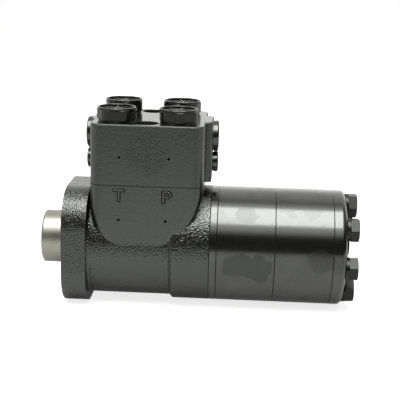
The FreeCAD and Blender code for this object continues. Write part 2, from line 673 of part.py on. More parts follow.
def hole_ring(body, name, circle, hole, start, length, turn=1):
    """Round holes along the shaft, one per lobe, the first straight up or straight down."""
    sketch = new_sketch(body, f"{name}_outline", "YZ_Plane", start)
    add_circle(sketch, "0", f"{turn} * {circle} / 2", hole)
    first = pocket(body, name, sketch, length, reverse=True)
    return round_pattern(body, f"{name}s", [first], "sizes.lobe_count")


BOLT_CLEARANCE = "(sizes.bolt_dia / 2 + sizes.bolt_gap)"


def make_distributor_plate():
    """Plate between casting and gears with seven feed holes, each midway between two bolts."""
    start = "sizes.housing_length"
    thick = "sizes.plate_thick"
    body = turned("distributor_plate", ring_corners(
        start, PLATE_END, "sizes.plate_bore / 2", "sizes.barrel_dia / 2", "sizes.edge_break"))
    hole_ring(body, "bolt_hole", "sizes.bolt_circle", BOLT_CLEARANCE, start, thick)
    hole_ring(body, "feed_hole", "sizes.feed_circle", "sizes.feed_hole / 2", start, thick, turn=-1)
    seal_groove(body, start)


def make_gear_ring(label, start, end):
    """Ring with rounded inner lobes; a cover bolt passes through each lobe."""
    body = turned(label, ring_corners(start, end, VALLEY_RADIUS, "sizes.barrel_dia / 2", "sizes.edge_break"))
    lobe = new_sketch(body, "lobe_outline", "YZ_Plane", start)
    add_circle(lobe, "0", "sizes.roller_circle / 2", "sizes.roller_dia / 2")
    first = pad(body, "lobe", lobe, "sizes.ring_thick")
    lobes = round_pattern(body, "lobes", [first], "sizes.lobe_count")
    valley = number(VALLEY_RADIUS)

    def corner_beside_lobe(edge, p):
        along_shaft = abs(edge.tangentAt(edge.FirstParameter).x) > 0.99
        return along_shaft and abs(math.hypot(p.y, p.z) - valley) < 1e-3

    rounded = fillet(body, "lobe_roots", lobes, corner_beside_lobe, "sizes.valley_round")
    body.Tip = rounded
    hole_ring(body, "bolt_hole", "sizes.bolt_circle", BOLT_CLEARANCE, start, "sizes.ring_thick")
    seal_groove(body, start)


def make_end_cover():
    round_edge = "sizes.cover_round"
    outer = "sizes.barrel_dia / 2"
    body = turned("end_cover", [
        (REAR_RING_END, "0"),
        (COVER_END, "0"),
        (COVER_END, f"{outer} - {round_edge}", round_edge),
        (f"{COVER_END} - {round_edge}", outer),
        (f"{REAR_RING_END} + sizes.edge_break", outer),
        (REAR_RING_END, f"{outer} - sizes.edge_break"),
    ])
    hole_ring(body, "bolt_hole", "sizes.bolt_circle", BOLT_CLEARANCE, REAR_RING_END, "sizes.cover_thick")
    seal_groove(body, REAR_RING_END)


def trochoid_point(turn, roller_circle, roller, orbit, count):
    """Point of the star rotor: the curve that every lobe of the ring touches."""
    phase = (1 - count) * turn
    lean = math.atan2(math.sin(phase), roller_circle / (orbit * count) - math.cos(phase))
    y = roller_circle * math.cos(turn) - roller * math.cos(turn + lean) - orbit * math.cos(count * turn)
    z = -roller_circle * math.sin(turn) + roller * math.sin(turn + lean) + orbit * math.sin(count * turn)
    return y, z


def rotor_face(start):
    """Star outline of arcs at the given place; one tip aims straight down, into the valley of two lobes."""
    count = round(number("sizes.lobe_count"))
    circle = number("sizes.roller_circle / 2")
    roller = number("sizes.roller_dia / 2 + sizes.gear_gap")
    orbit = number("sizes.orbit")
    steps = (count - 1) * STAR_ARCS

    def point(step):
        return Vector(start, *trochoid_point(2 * math.pi * step / steps, circle, roller, orbit, count))

    arcs = [Part.Arc(point(k), point(k + 0.5), point(k + 1)).toShape() for k in range(steps)]
    return Part.Face(Part.Wire(arcs))


def spline_face(start, tip, root, gap):
    """Toothed outline with straight flanks, meshing with the cardan's teeth; the gap widens both flanks."""
    teeth = round(number("sizes.spline_teeth"))
    pitch = 2 * math.pi / teeth
    flank = [(-0.30, root), (-0.19, tip), (0.19, tip), (0.30, root)]
    points = []
    for k in range(teeth):
        for share, radius in flank:
            angle = (k + 0.5 + share) * pitch + math.copysign(gap / radius, share)
            points.append(Vector(start, radius * math.cos(angle), radius * math.sin(angle)))
    return polygon_face(points)


def make_rotor(label, start, end, spacer_side):
    """Star rotor with inner teeth for the cardan shaft, and a counterbore for the spacer at the cover."""
    first = number(start)
    length = number(f"({end}) - ({start})")
    star = rotor_face(first).extrude(Vector(length, 0, 0))
    minor = number("sizes.rotor_spline_minor / 2")
    major = number("sizes.rotor_spline_major / 2")
    bore = Part.makeCylinder(minor, length, Vector(first, 0, 0), ALONG)
    teeth = spline_face(first, major, minor - 0.3, number("sizes.tooth_gap / 2")).extrude(Vector(length, 0, 0))
    shape = star.cut(bore.fuse(teeth))
    if spacer_side:
        depth = number("sizes.spacer_thick + sizes.end_gap")
        shape = shape.cut(Part.makeCylinder(major, depth, Vector(first + length - depth, 0, 0), ALONG))
    solid_of(label, shape, Vector(0, 0, -number("sizes.orbit")))


def make_drive_spacer():
    body = turned("drive_spacer", ring_corners(
        "0", "sizes.spacer_thick", "0", "sizes.rotor_spline_major / 2 - sizes.spacer_gap"))
    place(body, x=SPACER_START, z="-sizes.orbit")


def make_face_seals():
    """Square section seals in the grooves of the plate, the rings and the cover, as one group."""
    radius = number("sizes.seal_groove_dia / 2")
    section = number("sizes.seal_section")
    shapes = []
    for face in ("sizes.housing_length", PLATE_END, FRONT_RING_END, REAR_RING_END):
        start = Vector(number(face), 0, 0)
        outer = Part.makeCylinder(radius + section / 2, section, start, ALONG)
        inner = Part.makeCylinder(radius - section / 2, section, start, ALONG)
        shapes.append(outer.cut(inner))
    solid_of("face_seals", Part.Compound(shapes))


def around_bolts(shape):
    """Copies of a shape at every cover bolt; the shape stands at the topmost one."""
    count = round(number("sizes.lobe_count"))
    copies = []
    for k in range(count):
        copy = shape.copy()
        copy.rotate(Vector(), ALONG, 360 * k / count)
        copies.append(copy)
    return Part.Compound(copies)


def make_cover_bolts():
    """Hexagon bolts through cover, rings and plate into the casting, with a round face under the hexagon."""
    seat = Vector(number(HEAD_START), 0, number("sizes.bolt_circle / 2"))
    reach = number(f"{HEAD_START} - sizes.housing_length + sizes.bolt_grip - 1")
    half_flats = number("sizes.head_flats / 2")
    corner = half_flats / math.cos(math.pi / 6)
    face = number("sizes.head_face")
    height = number("sizes.head_height")
    slope = number("sizes.head_slope")
    shank = Part.makeCylinder(number("sizes.bolt_dia / 2 - sizes.seat_gap"), reach, seat, -ALONG)
    collar = Part.makeCylinder(half_flats, face, seat, ALONG)
    start = seat + ALONG * face
    outline = []
    for k in range(6):
        angle = math.pi * k / 3
        outline.append(start + Vector(0, corner * math.cos(angle), corner * math.sin(angle)))
    hexagon = polygon_face(outline).extrude(ALONG * height)
    straight = Part.makeCylinder(corner + 1, height - slope, start, ALONG)
    lean = slope * math.sqrt(3)
    sloped = Part.makeCone(half_flats + lean, half_flats, slope, start + ALONG * (height - slope), ALONG)
    head = hexagon.common(straight.fuse(sloped))
    solid_of("cover_bolts", around_bolts(shank.fuse([collar, head]).removeSplitter()))


def make_bolt_washers():
    centre = Vector(number(COVER_END), 0, number("sizes.bolt_circle / 2"))
    thick = number("sizes.washer_thick")
    disc = Part.makeCylinder(number("sizes.washer_dia / 2"), thick, centre, ALONG)
    hole = Part.makeCylinder(number("sizes.bolt_dia / 2 + sizes.seat_gap"), thick, centre, ALONG)
    solid_of("bolt_washers", around_bolts(disc.cut(hole)))


# Rotating group


def make_sleeve():
    """Control sleeve: ring grooves outside, leaf spring slot, pin holes, port holes and commutator holes."""
    outer = "sizes.bore_dia / 2 - sizes.running_gap"
    inner = "sizes.spool_dia / 2"
    corners = [(SLEEVE_START, inner), (SLEEVE_END, inner), (SLEEVE_END, outer)]
    for middle in reversed(GROOVE_PLACES[1:]):
        shallow = f"{outer} - sizes.sleeve_groove_depth"
        near = f"{middle} - sizes.groove_width / 2"
        far = f"{middle} + sizes.groove_width / 2"
        corners += [(far, outer), (far, shallow), (near, shallow), (near, outer)]
    corners.append((SLEEVE_START, outer))
    body = turned("sleeve", corners)
    slot = new_sketch(body, "slot_outline", "XY_Plane")
    rectangle(slot, "sizes.spring_slot_at", "0", "sizes.spring_slot_length", "sizes.spring_slot_width")
    pocket(body, "spring_slot", slot, "sizes.bore_dia", "Symmetric")
    pin = new_sketch(body, "pin_hole_outline", "XZ_Plane")
    add_circle(pin, "sizes.pin_at", "0", "sizes.pin_dia / 2 + sizes.running_gap")
    pocket(body, "pin_holes", pin, "sizes.bore_dia", "Symmetric")
    for name, middle, pairs, span in (
            ("left", GROOVE_PLACES[1], "3", 120), ("right", GROOVE_PLACES[2], "3", 120),
            ("pressure", GROOVE_PLACES[3], "3", 120), ("commutator", "sizes.commutator_at", "6", 150)):
        sketch = new_sketch(body, f"{name}_hole_outline", "XY_Plane")
        add_circle(sketch, middle, "0", "sizes.sleeve_hole / 2")
        first = pocket(body, f"{name}_hole", sketch, "sizes.bore_dia", "Symmetric")
        round_pattern(body, f"{name}_holes", [first], pairs, span)


def rectangle(sketch, across, up, length, width):
    """Rectangle centred on a point."""
    left, right = f"{across} - {length} / 2", f"{across} + {length} / 2"
    low, high = f"{up} - {width} / 2", f"{up} + {width} / 2"
    add_outline(sketch, [(left, low), (right, low), (right, high), (left, high)])


def make_spool():
    """Control spool; its outer end is the input stub with the splined socket for the column."""
    inner = "sizes.spool_dia / 2 - sizes.running_gap"
    stub = "sizes.stub_dia / 2"
    body = turned("spool", [
        ("-sizes.stub_length", "sizes.socket_mouth_dia / 2"),
        ("-sizes.stub_length + sizes.socket_mouth_depth", "sizes.socket_mouth_dia / 2"),
        ("-sizes.stub_length + sizes.socket_mouth_depth", "sizes.socket_minor / 2"),
        ("sizes.socket_end", "sizes.socket_minor / 2"),
        ("sizes.socket_end", "0"),
        ("sizes.spool_bore_start", "0"),
        ("sizes.spool_bore_start", "sizes.spool_bore / 2"),
        (SPOOL_END, "sizes.spool_bore / 2"),
        (SPOOL_END, inner),
        ("sizes.stub_end", inner),
        ("sizes.stub_end", stub),
        ("-sizes.stub_length + sizes.stub_chamfer", stub, "sizes.stub_chamfer"),
        ("-sizes.stub_length", f"{stub} - sizes.stub_chamfer"),
    ])
    mouth = "-sizes.stub_length + sizes.socket_mouth_depth"
    tooth_space = new_sketch(body, "tooth_space_outline", "YZ_Plane", mouth)
    pitch = "(360 / sizes.spline_teeth)"
    root = "sizes.socket_major / 2"
    tip = "(sizes.socket_minor / 2 - 0.4)"
    add_outline(tooth_space, [
        (f"{tip} * cos({pitch} * 0.32)", f"-{tip} * sin({pitch} * 0.32)"),
        (f"{root} * cos({pitch} * 0.18)", f"-{root} * sin({pitch} * 0.18)"),
        (f"{root} * cos({pitch} * 0.18)", f"{root} * sin({pitch} * 0.18)"),
        (f"{tip} * cos({pitch} * 0.32)", f"{tip} * sin({pitch} * 0.32)"),
    ])
    depth = "sizes.socket_end + sizes.stub_length - sizes.socket_mouth_depth"
    first = pocket(body, "tooth_space", tooth_space, depth, reverse=True)
    round_pattern(body, "tooth_spaces", [first], "sizes.spline_teeth")
    slot = new_sketch(body, "slot_outline", "XY_Plane")
    rectangle(slot, "sizes.spring_slot_at", "0", "sizes.spring_slot_length", "sizes.spring_slot_width")
    pocket(body, "spring_slot", slot, "sizes.bore_dia", "Symmetric")
    pin = new_sketch(body, "pin_hole_outline", "XZ_Plane")
    swing = "sizes.spool_dia / 2 * sin(sizes.spool_turn)"
    add_circle(pin, "sizes.pin_at", "0", f"sizes.pin_dia / 2 + {swing} + sizes.turn_play")
    pocket(body, "pin_holes", pin, "sizes.bore_dia", "Symmetric")
    groove = new_sketch(body, "long_groove_outline", "XY_Plane", f"{inner} - sizes.spool_groove_depth")
    middle = f"(sizes.spool_groove_start + {SPOOL_END}) / 2"
    length = f"({SPOOL_END} - sizes.spool_groove_start - 6)"
    rectangle(groove, middle, "0", length, "sizes.spool_groove_width")
    first = pocket(body, "long_groove", groove, "sizes.spool_dia", reverse=True)
    round_pattern(body, "long_grooves", [first], "6")


def make_cross_pin():
    pin = doc.addObject("Part::Cylinder", "cross_pin")
    pin.Label = "cross_pin"
    half = "sqrt((sizes.bore_dia / 2 - 2 * sizes.running_gap) ^ 2 - (sizes.pin_dia / 2) ^ 2)"
    pin.Placement = FreeCAD.Placement(Vector(), FreeCAD.Rotation(Vector(1, 0, 0), -90))
    pin.setExpression("Radius", "sizes.pin_dia / 2")
    pin.setExpression("Height", f"2 * {half}")
    pin.setExpression("Placement.Base.x", "sizes.pin_at")
    pin.setExpression("Placement.Base.y", f"-{half}")
    nodes.append(pin)


def make_neutral_springs():
    """Packs of leaf springs through sleeve and spool: two straight leaves between curved ones."""
    half = number("sizes.bore_dia / 2 - 6 * sizes.running_gap")
    thick = number("sizes.leaf_thick")
    bow = number("sizes.leaf_bow")
    width = number("sizes.spring_slot_length - 8 * sizes.running_gap")
    start = number("sizes.spring_slot_at") - width / 2
    shapes = []
    for side in (-1, 1):
        straight = polygon_face([
            Vector(start, 0.02 * side, -half), Vector(start, 0.02 * side, half),
            Vector(start, thick * side, half), Vector(start, thick * side, -half)])
        shapes.append(straight.extrude(Vector(width, 0, 0)))
        near = side * (thick + 0.05)
        far = side * (2 * thick + 0.05)
        ends = [Vector(start, y, z) for y, z in ((near, -half), (near, half), (far, half), (far, -half))]
        inner = Part.Arc(ends[0], Vector(start, near + side * bow, 0), ends[1]).toShape()
        outer = Part.Arc(ends[2], Vector(start, far + side * bow, 0), ends[3]).toShape()
        wire = Part.Wire([inner, Part.makeLine(ends[1], ends[2]), outer, Part.makeLine(ends[3], ends[0])])
        shapes.append(Part.Face(wire).extrude(Vector(width, 0, 0)))
    solid_of("neutral_springs", Part.Compound(shapes))


def make_bearing():
    """Thrust needle bearing between the housing shoulder and the sleeve."""
    turned("bearing_race_outer", ring_corners("sizes.lip_end", CAGE_START, "sizes.race_bore / 2", RACE_RADIUS))
    turned("bearing_race_inner", ring_corners(
        INNER_RACE_START, SLEEVE_START, "sizes.race_bore / 2", RACE_RADIUS))
    cage = turned("needle_cage", ring_corners(
        f"{CAGE_MIDDLE} - sizes.cage_thick / 2", f"{CAGE_MIDDLE} + sizes.cage_thick / 2",
        "sizes.race_bore / 2 + 0.1", f"{RACE_RADIUS} - 0.1"))
    middle = f"((sizes.race_bore / 2 + {RACE_RADIUS}) / 2)"
    window = new_sketch(cage, "window_outline", "YZ_Plane", f"{CAGE_MIDDLE} - sizes.cage_thick / 2")
    rectangle(window, "0", middle, "(sizes.needle_dia + 2 * sizes.running_gap)",
              "(sizes.needle_length + 2 * sizes.running_gap)")
    first = pocket(cage, "window", window, "sizes.cage_thick", reverse=True)
    round_pattern(cage, "windows", [first], "sizes.needle_count")
    make_needles(middle)


def make_needles(middle):
    radius = number("sizes.needle_dia / 2")
    length = number("sizes.needle_length")
    start = Vector(number(CAGE_MIDDLE), 0, number(middle) - length / 2)
    count = round(number("sizes.needle_count"))
    shapes = []
    for k in range(count):
        needle = Part.makeCylinder(radius, length, start, Vector(0, 0, 1))
        needle.rotate(Vector(), ALONG, 360 * k / count)
        shapes.append(needle)
    solid_of("bearing_needles", Part.Compound(shapes))


def make_seals():
    """Dust seal with its lip and the shaft seal behind it, both round the stub."""
    lip = "sizes.stub_dia / 2 + sizes.running_gap"
    outer = "sizes.dust_pocket_dia / 2 - sizes.seat_gap"
    turned("dust_seal", [
        ("0.3", f"{lip} + 2.4"), ("0.3", f"{lip} + 0.6"), ("0.9", lip), ("2.2", lip), ("3.4", f"{lip} + 1.4"),
        ("sizes.dust_pocket_depth - sizes.seat_gap", f"{lip} + 1.4"),
        ("sizes.dust_pocket_depth - sizes.seat_gap", outer), ("1.4", outer), ("1.4", f"{lip} + 3.2"),
    ])
    turned("shaft_seal", ring_corners(
        "sizes.dust_pocket_depth + sizes.seat_gap", "sizes.seal_pocket_end - sizes.seat_gap", lip,
        f"{SEAL_POCKET} - sizes.seat_gap", "0.6"))


def make_cardan_shaft():
    """Cardan shaft: slotted ball end on the cross pin, toothed head in the rotors, tail at the spacer."""
    ball = "sizes.cardan_ball / 2"
    half = "sizes.cardan_ball_half"
    shank = "sizes.cardan_shank / 2"
    head = "sizes.cardan_head / 2"
    reach = f"({CARDAN_REACH} / cos({CARDAN_TILT}))"
    tail_end = f"({reach} + ({SPACER_START} - {HEAD_MIDDLE}) / cos({CARDAN_TILT}) - 0.3)"
    body = turned("cardan_shaft", [
        (f"-{half}", "0"),
        (f"{tail_end}", "0"),
        (f"{tail_end}", "sizes.cardan_tail / 2 - 2"),
        (f"{tail_end} - 2", "sizes.cardan_tail / 2"),
        (f"{reach} + sizes.cardan_head_half + 3", "sizes.cardan_tail / 2"),
        (f"{reach} + sizes.cardan_head_half", f"{head} - 0.9"),
        (f"{reach} + sizes.cardan_head_half / 2", head),
        (f"{reach} - sizes.cardan_head_half / 2", head),
        (f"{reach} - sizes.cardan_head_half", f"{head} - 0.9"),
        (f"{reach} - sizes.cardan_head_half - 3", shank),
        (f"{half} + 3", shank),
        (half, f"{ball} - 1.4"),
        (f"{half} / 2", ball),
        (f"-{half} / 2", ball),
        (f"-{half}", f"{ball} - 1.4"),
    ])
    slot = new_sketch(body, "slot_outline", "XZ_Plane")
    gap = "(sizes.pin_dia / 2 + sizes.cardan_slot_gap)"
    bottom = "(sizes.pin_dia / 2 + sizes.cardan_bottom_gap)"
    add_outline(slot, [
        (f"-{half} - 1", f"-{gap}"), (f"{bottom} - {gap}", f"-{gap}", gap), (f"{bottom}", "0", gap),
        (f"{bottom} - {gap}", gap), (f"-{half} - 1", gap),
    ])
    pocket(body, "pin_slot", slot, "2 * sizes.cardan_ball", "Symmetric")
    space = new_sketch(body, "tooth_space_outline", "YZ_Plane", f"{reach} - sizes.cardan_head_half - 4")
    pitch = "(360 / sizes.spline_teeth)"
    root = "(sizes.cardan_root / 2)"
    outside = f"({head} + 1)"
    side = "(sizes.tooth_gap / 2 / sizes.cardan_head * 2 * 57.3)"
    add_outline(space, [
        (f"{root} * cos({pitch} * 0.20 + {side})", f"-{root} * sin({pitch} * 0.20 + {side})"),
        (f"{outside} * cos({pitch} * 0.34 + {side})", f"-{outside} * sin({pitch} * 0.34 + {side})"),
        (f"{outside} * cos({pitch} * 0.34 + {side})", f"{outside} * sin({pitch} * 0.34 + {side})"),
        (f"{root} * cos({pitch} * 0.20 + {side})", f"{root} * sin({pitch} * 0.20 + {side})"),
    ])
    first = pocket(body, "tooth_space", space, "2 * sizes.cardan_head_half + 8", reverse=True)
    round_pattern(body, "tooth_spaces", [first], "sizes.spline_teeth")
    place(body, x="sizes.pin_at", axis=Vector(0, 1, 0), angle=CARDAN_TILT)


# Valves in the port block


def spring_shape(start, end, coil_radius, wire_radius, coils):
    """Compression spring along the shaft direction: half turns of round wire, tilted to and fro."""
    halves = round(2 * coils)
    rise = (end - start - 2 * wire_radius) / halves
    bend = math.hypot(coil_radius, rise / 2)
    tilt = math.degrees(math.atan2(rise / 2, coil_radius))
    turns = []
    for k in range(halves):
        half = Part.makeTorus(bend, wire_radius, Vector(), Vector(0, 0, 1), 0, 360, 180)
        if k % 2:
            half.rotate(Vector(), Vector(0, 0, 1), 180)
        half.rotate(Vector(), Vector(0, 1, 0), -tilt if k % 2 else tilt)
        half.translate(Vector(0, 0, rise * (k + 0.5)))
        turns.append(half)
    spring = turns[0].fuse(turns[1:])
    spring.rotate(Vector(), Vector(0, 1, 0), 90)
    spring.translate(Vector(start + wire_radius, 0, 0))
    return spring


def valve_plug(label, size, side):
    """Screw plug with a hexagon socket; its head stands off the face by the seal washer."""
    shank = f"sizes.{size}_thread / 2 - sizes.seat_gap"
    head = f"sizes.{size}_head / 2"
    thick = "sizes.plug_head_thick"
    back = "sizes.plug_washer_thick"
    hollow = f"sizes.{size}_chamber / 2 - 0.6"
    length = f"sizes.{size}_thread_depth - 1"
    body = turned(label, [
        (f"-{back} - {thick}", "0"),
        (f"{length} - 4", "0"), (f"{length} - 4", hollow), (length, hollow), (length, shank),
        (f"-{back}", shank), (f"-{back}", head), (f"-{back} - {thick} + 0.8", head),
        (f"-{back} - {thick}", f"{head} - 0.8"),
    ])
    socket = new_sketch(body, "socket_outline", "YZ_Plane", f"-{back} - {thick}")
    corner = f"(sizes.{size}_head * sizes.socket_share / 2 / cos(30))"
    add_outline(socket, [
        (f"{corner} * cos({60 * k})", f"{corner} * sin({60 * k})") for k in range(6)])
    pocket(body, "socket", socket, f"{thick} + 1", reverse=True)
    place_valve(body, size, side)
    washer = turned(f"{label}_washer", ring_corners(
        f"-{back}", "0", f"{shank} + 2 * sizes.seat_gap", f"{head} - 0.6"))
    place_valve(washer, size, side)


def place_valve(piece, size, side):
    """Valves are drawn along X from the face they enter; those on the gear side are turned round."""
    height = "sizes.valve_high" if size == "big" else "sizes.valve_low"
    face = FLANGE_PAD_FACE if side == "left" else PAD_FACE
    place(piece, x=face, z=height, angle="0" if side == "left" else "180")


def valve_seat(label, size, side):
    radius = f"sizes.{size}_chamber / 2 - sizes.seat_gap"
    hole = f"sizes.{size}_chamber / 2 * sizes.seat_hole_share"
    end = f"sizes.{size}_chamber_depth"
    body = turned(label, [
        (f"{end} - sizes.seat_length", f"{hole} + 1"), (f"{end} - sizes.seat_length + 1", hole), (end, hole),
        (end, radius), (f"{end} - sizes.seat_length", radius),
    ])
    place_valve(body, size, side)


def valve_poppet(label, side):
    """Cone poppet of a big valve, lifted a hair off its seat, with a stem that guides the spring."""
    seat = "(sizes.big_chamber_depth - sizes.seat_length)"
    hole = "(sizes.big_chamber / 2 * sizes.seat_hole_share)"
    rim = f"({hole} + 1.9 - sizes.seat_gap)"
    body = turned(label, [
        (f"{seat} - 14", "0"), (f"{seat} + 2", "0"), (f"{seat} + 2", f"{hole} - 1 - sizes.seat_gap"),
        (f"{seat} - 0.9", rim), (f"{seat} - 4", rim), (f"{seat} - 4", "2"), (f"{seat} - 14", "2"),
    ])
    place_valve(body, "big", side)


def valve_ball(label, side):
    """Ball of a suction valve, resting in the 45 degree cone of its seat; returns where the spring meets it."""
    radius = number("sizes.suction_ball / 2")
    ball = Part.makeSphere(radius)
    face = number(FLANGE_PAD_FACE if side == "left" else PAD_FACE)
    way = 1 if side == "left" else -1
    hole = number("sizes.small_chamber / 2 * sizes.seat_hole_share")
    cone_tip = number("sizes.small_chamber_depth - sizes.seat_length") + hole + 1
    depth = cone_tip - math.sqrt(2) * radius - number("sizes.running_gap")
    solid_of(label, ball, Vector(face + way * depth, 0, number("sizes.valve_low")))
    return depth - radius


def valve_spring(label, size, side, start, end, coil_radius):
    wire = number("sizes.wire_dia / 2")
    coils = number("sizes.spring_coils")
    shape = spring_shape(start, end, coil_radius, wire, coils)
    face = number(FLANGE_PAD_FACE if side == "left" else PAD_FACE)
    height = number("sizes.valve_high" if size == "big" else "sizes.valve_low")
    solid_of(label, shape, Vector(face, 0, height), 0 if side == "left" else 180)


def make_big_valve(name, side):
    valve_plug(f"{name}_plug", "big", side)
    valve_seat(f"{name}_seat", "big", side)
    valve_poppet(f"{name}_poppet", side)
    start = number("sizes.big_thread_depth") - 5 + 0.1
    end = number("sizes.big_chamber_depth - sizes.seat_length") - 4.1
    valve_spring(f"{name}_spring", "big", side, start, end, number("sizes.big_chamber / 2") - 2.2)


def make_suction_valve(name, side):
    valve_plug(f"{name}_plug", "small", side)
    valve_seat(f"{name}_seat", "small", side)
    ball_start = valve_ball(f"{name}_ball", side)
    start = number("sizes.small_thread_depth") - 5 + 0.1
    coil_radius = number("sizes.small_chamber / 2") - 1.9
    valve_spring(f"{name}_spring", "small", side, start, ball_start + 0.2, coil_radius)


def make_check_valve():
    """Seat bush, ball and roll pin in the pressure passage; the ball hangs on the pin with no flow."""
    x = PORTS["p"][2]
    y = f"-{PASSAGE_ACROSS}"
    top = "(sizes.block_top - sizes.port_depth)"
    radius = "sizes.check_bore / 2 - sizes.seat_gap"
    hole = "sizes.check_bore / 2 * 0.55"
    seat = turned("check_seat", [
        ("0", hole), ("5", hole), ("6", f"{hole} + 1"), ("6", radius), ("0", radius),
    ])
    place(seat, x=x, y=y, z=top, axis=Vector(0, 1, 0), angle="90")
    ball_radius = number("sizes.check_ball / 2")
    drop = math.sqrt(2) * ball_radius + 5 - number(hole) + number("sizes.running_gap")
    centre = Vector(number(x), number(y), number(top) - drop - number("sizes.check_travel"))
    solid_of("check_ball", Part.makeSphere(ball_radius), centre)
    pin_radius = number("sizes.check_pin / 2")
    pin_height = centre.z - ball_radius - pin_radius - 0.05
    reach = math.sqrt(number("sizes.check_bore / 2 - sizes.seat_gap") ** 2 - pin_radius ** 2)
    pin_start = Vector(centre.x - reach, centre.y, pin_height)
    solid_of("check_pin", Part.makeCylinder(pin_radius, 2 * reach, pin_start, ALONG))


# Port plugs


def make_port_plug(port):
    """Moulded shipping plug: hexagon head with a round hollow rim, on a seal ring."""
    x, side, _ = PORTS[port]
    y = f"{side} * sizes.port_pitch / 2"
    base = "sizes.port_seal_thick"
    body = new_body(f"port_plug_{port}")
    hexagon = new_sketch(body, "hexagon_outline", "XY_Plane", base)
    corner = "(sizes.port_plug_flats / 2 / cos(30))"
    add_outline(hexagon, [
        (f"{corner} * cos({60 * k + 30})", f"{corner} * sin({60 * k + 30})") for k in range(6)])
    head = pad(body, "head", hexagon, "sizes.port_plug_height - sizes.port_plug_rim_height")
    fillet(body, "head_corners", head,
           lambda edge, p: abs(edge.tangentAt(edge.FirstParameter).z) > 0.99, "sizes.port_plug_corner")
    for name, outer, start, height in (
            ("rim", "sizes.port_plug_rim / 2", f"{base} + sizes.port_plug_height - sizes.port_plug_rim_height",
             "sizes.port_plug_rim_height"),
            ("shank", "sizes.port_bore / 2 - sizes.seat_gap", "-sizes.port_plug_shank",
             f"sizes.port_plug_shank + {base}")):
        sketch = new_sketch(body, f"{name}_outline", "XY_Plane", start)
        add_circle(sketch, "0", "0", outer)
        pad(body, name, sketch, height)
    hollow = new_sketch(body, "hollow_outline", "XY_Plane", f"{base} + sizes.port_plug_height")
    add_circle(hollow, "0", "0", "sizes.port_plug_rim / 2 - sizes.port_plug_wall")
    pocket(body, "hollow", hollow, "sizes.port_plug_recess")
    place(body, x=x, y=y, z="sizes.block_top")
    seal = new_body(f"port_seal_{port}")
    ring = new_sketch(seal, "ring_outline", "XY_Plane")
    add_circle(ring, "0", "0", "sizes.port_seal_dia / 2")
    add_circle(ring, "0", "0", "sizes.port_bore / 2 + sizes.seat_gap")
    pad(seal, "ring", ring, base)
    place(seal, x=x, y=y, z="sizes.block_top")


def check_and_export():
    """Every object must be sound before anything is written."""
    doc.recompute()
    for item in doc.Objects:
        if "Invalid" in item.State or "Error" in item.State:
            raise RuntimeError(f"{item.Name} failed: {item.State}")
    os.makedirs("parts", exist_ok=True)
    for node in nodes:
        if node.Shape.isNull() or not node.Shape.isValid():
            raise RuntimeError(f"{node.Label} has no sound shape")
    for node in nodes:
        node.Shape.exportStep(f"parts/{node.Label}.step")
        box = node.Shape.BoundBox
        print(f"{node.Label:24s} solids {len(node.Shape.Solids):2d} volume {node.Shape.Volume:10.1f}"
              f" x {box.XMin:7.2f} {box.XMax:7.2f} y {box.YMin:7.2f} {box.YMax:7.2f}"
              f" z {box.ZMin:7.2f} {box.ZMax:7.2f}")


make_housing()
make_distributor_plate()
make_gear_ring("gear_ring_front", PLATE_END, FRONT_RING_END)
make_gear_ring("gear_ring_rear", FRONT_RING_END, REAR_RING_END)
make_end_cover()
make_face_seals()
make_cover_bolts()
make_bolt_washers()
make_seals()
make_bearing()
make_sleeve()
make_spool()
make_cross_pin()
make_neutral_springs()
make_cardan_shaft()
make_rotor("rotor_front", f"{PLATE_END} + sizes.end_gap", FRONT_RING_END, False)
make_rotor("rotor_rear", FRONT_RING_END, f"{REAR_RING_END} - sizes.end_gap", True)
make_drive_spacer()
make_big_valve("relief_valve", "left")
make_big_valve("shock_valve", "right")
make_suction_valve("suction_valve_left", "left")
make_suction_valve("suction_valve_right", "right")
make_check_valve()
for port in PORTS:
    make_port_plug(port)
check_and_export()
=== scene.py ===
# %% [markdown]
# # A hydraulic steering unit on a pale studio table
#
# The real object is a cast iron valve housing with a square flange at one end and a stack of turned gear
# rings at the other. Everything but the steel stub is covered with one coat of dark grey enamel, so nearly
# all that the eye reads is gloss: the enamel has little colour of its own and mirrors the lamp above it and
# the table below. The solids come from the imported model. This file gives them their finishes, adds what is
# too fine for the solids, such as the cast letters and the screw threads, and sets up the table, the lamp
# and the camera.

# %% The frame and its measures
import json
import math

import bmesh
import bpy
from mathutils import Matrix, Vector


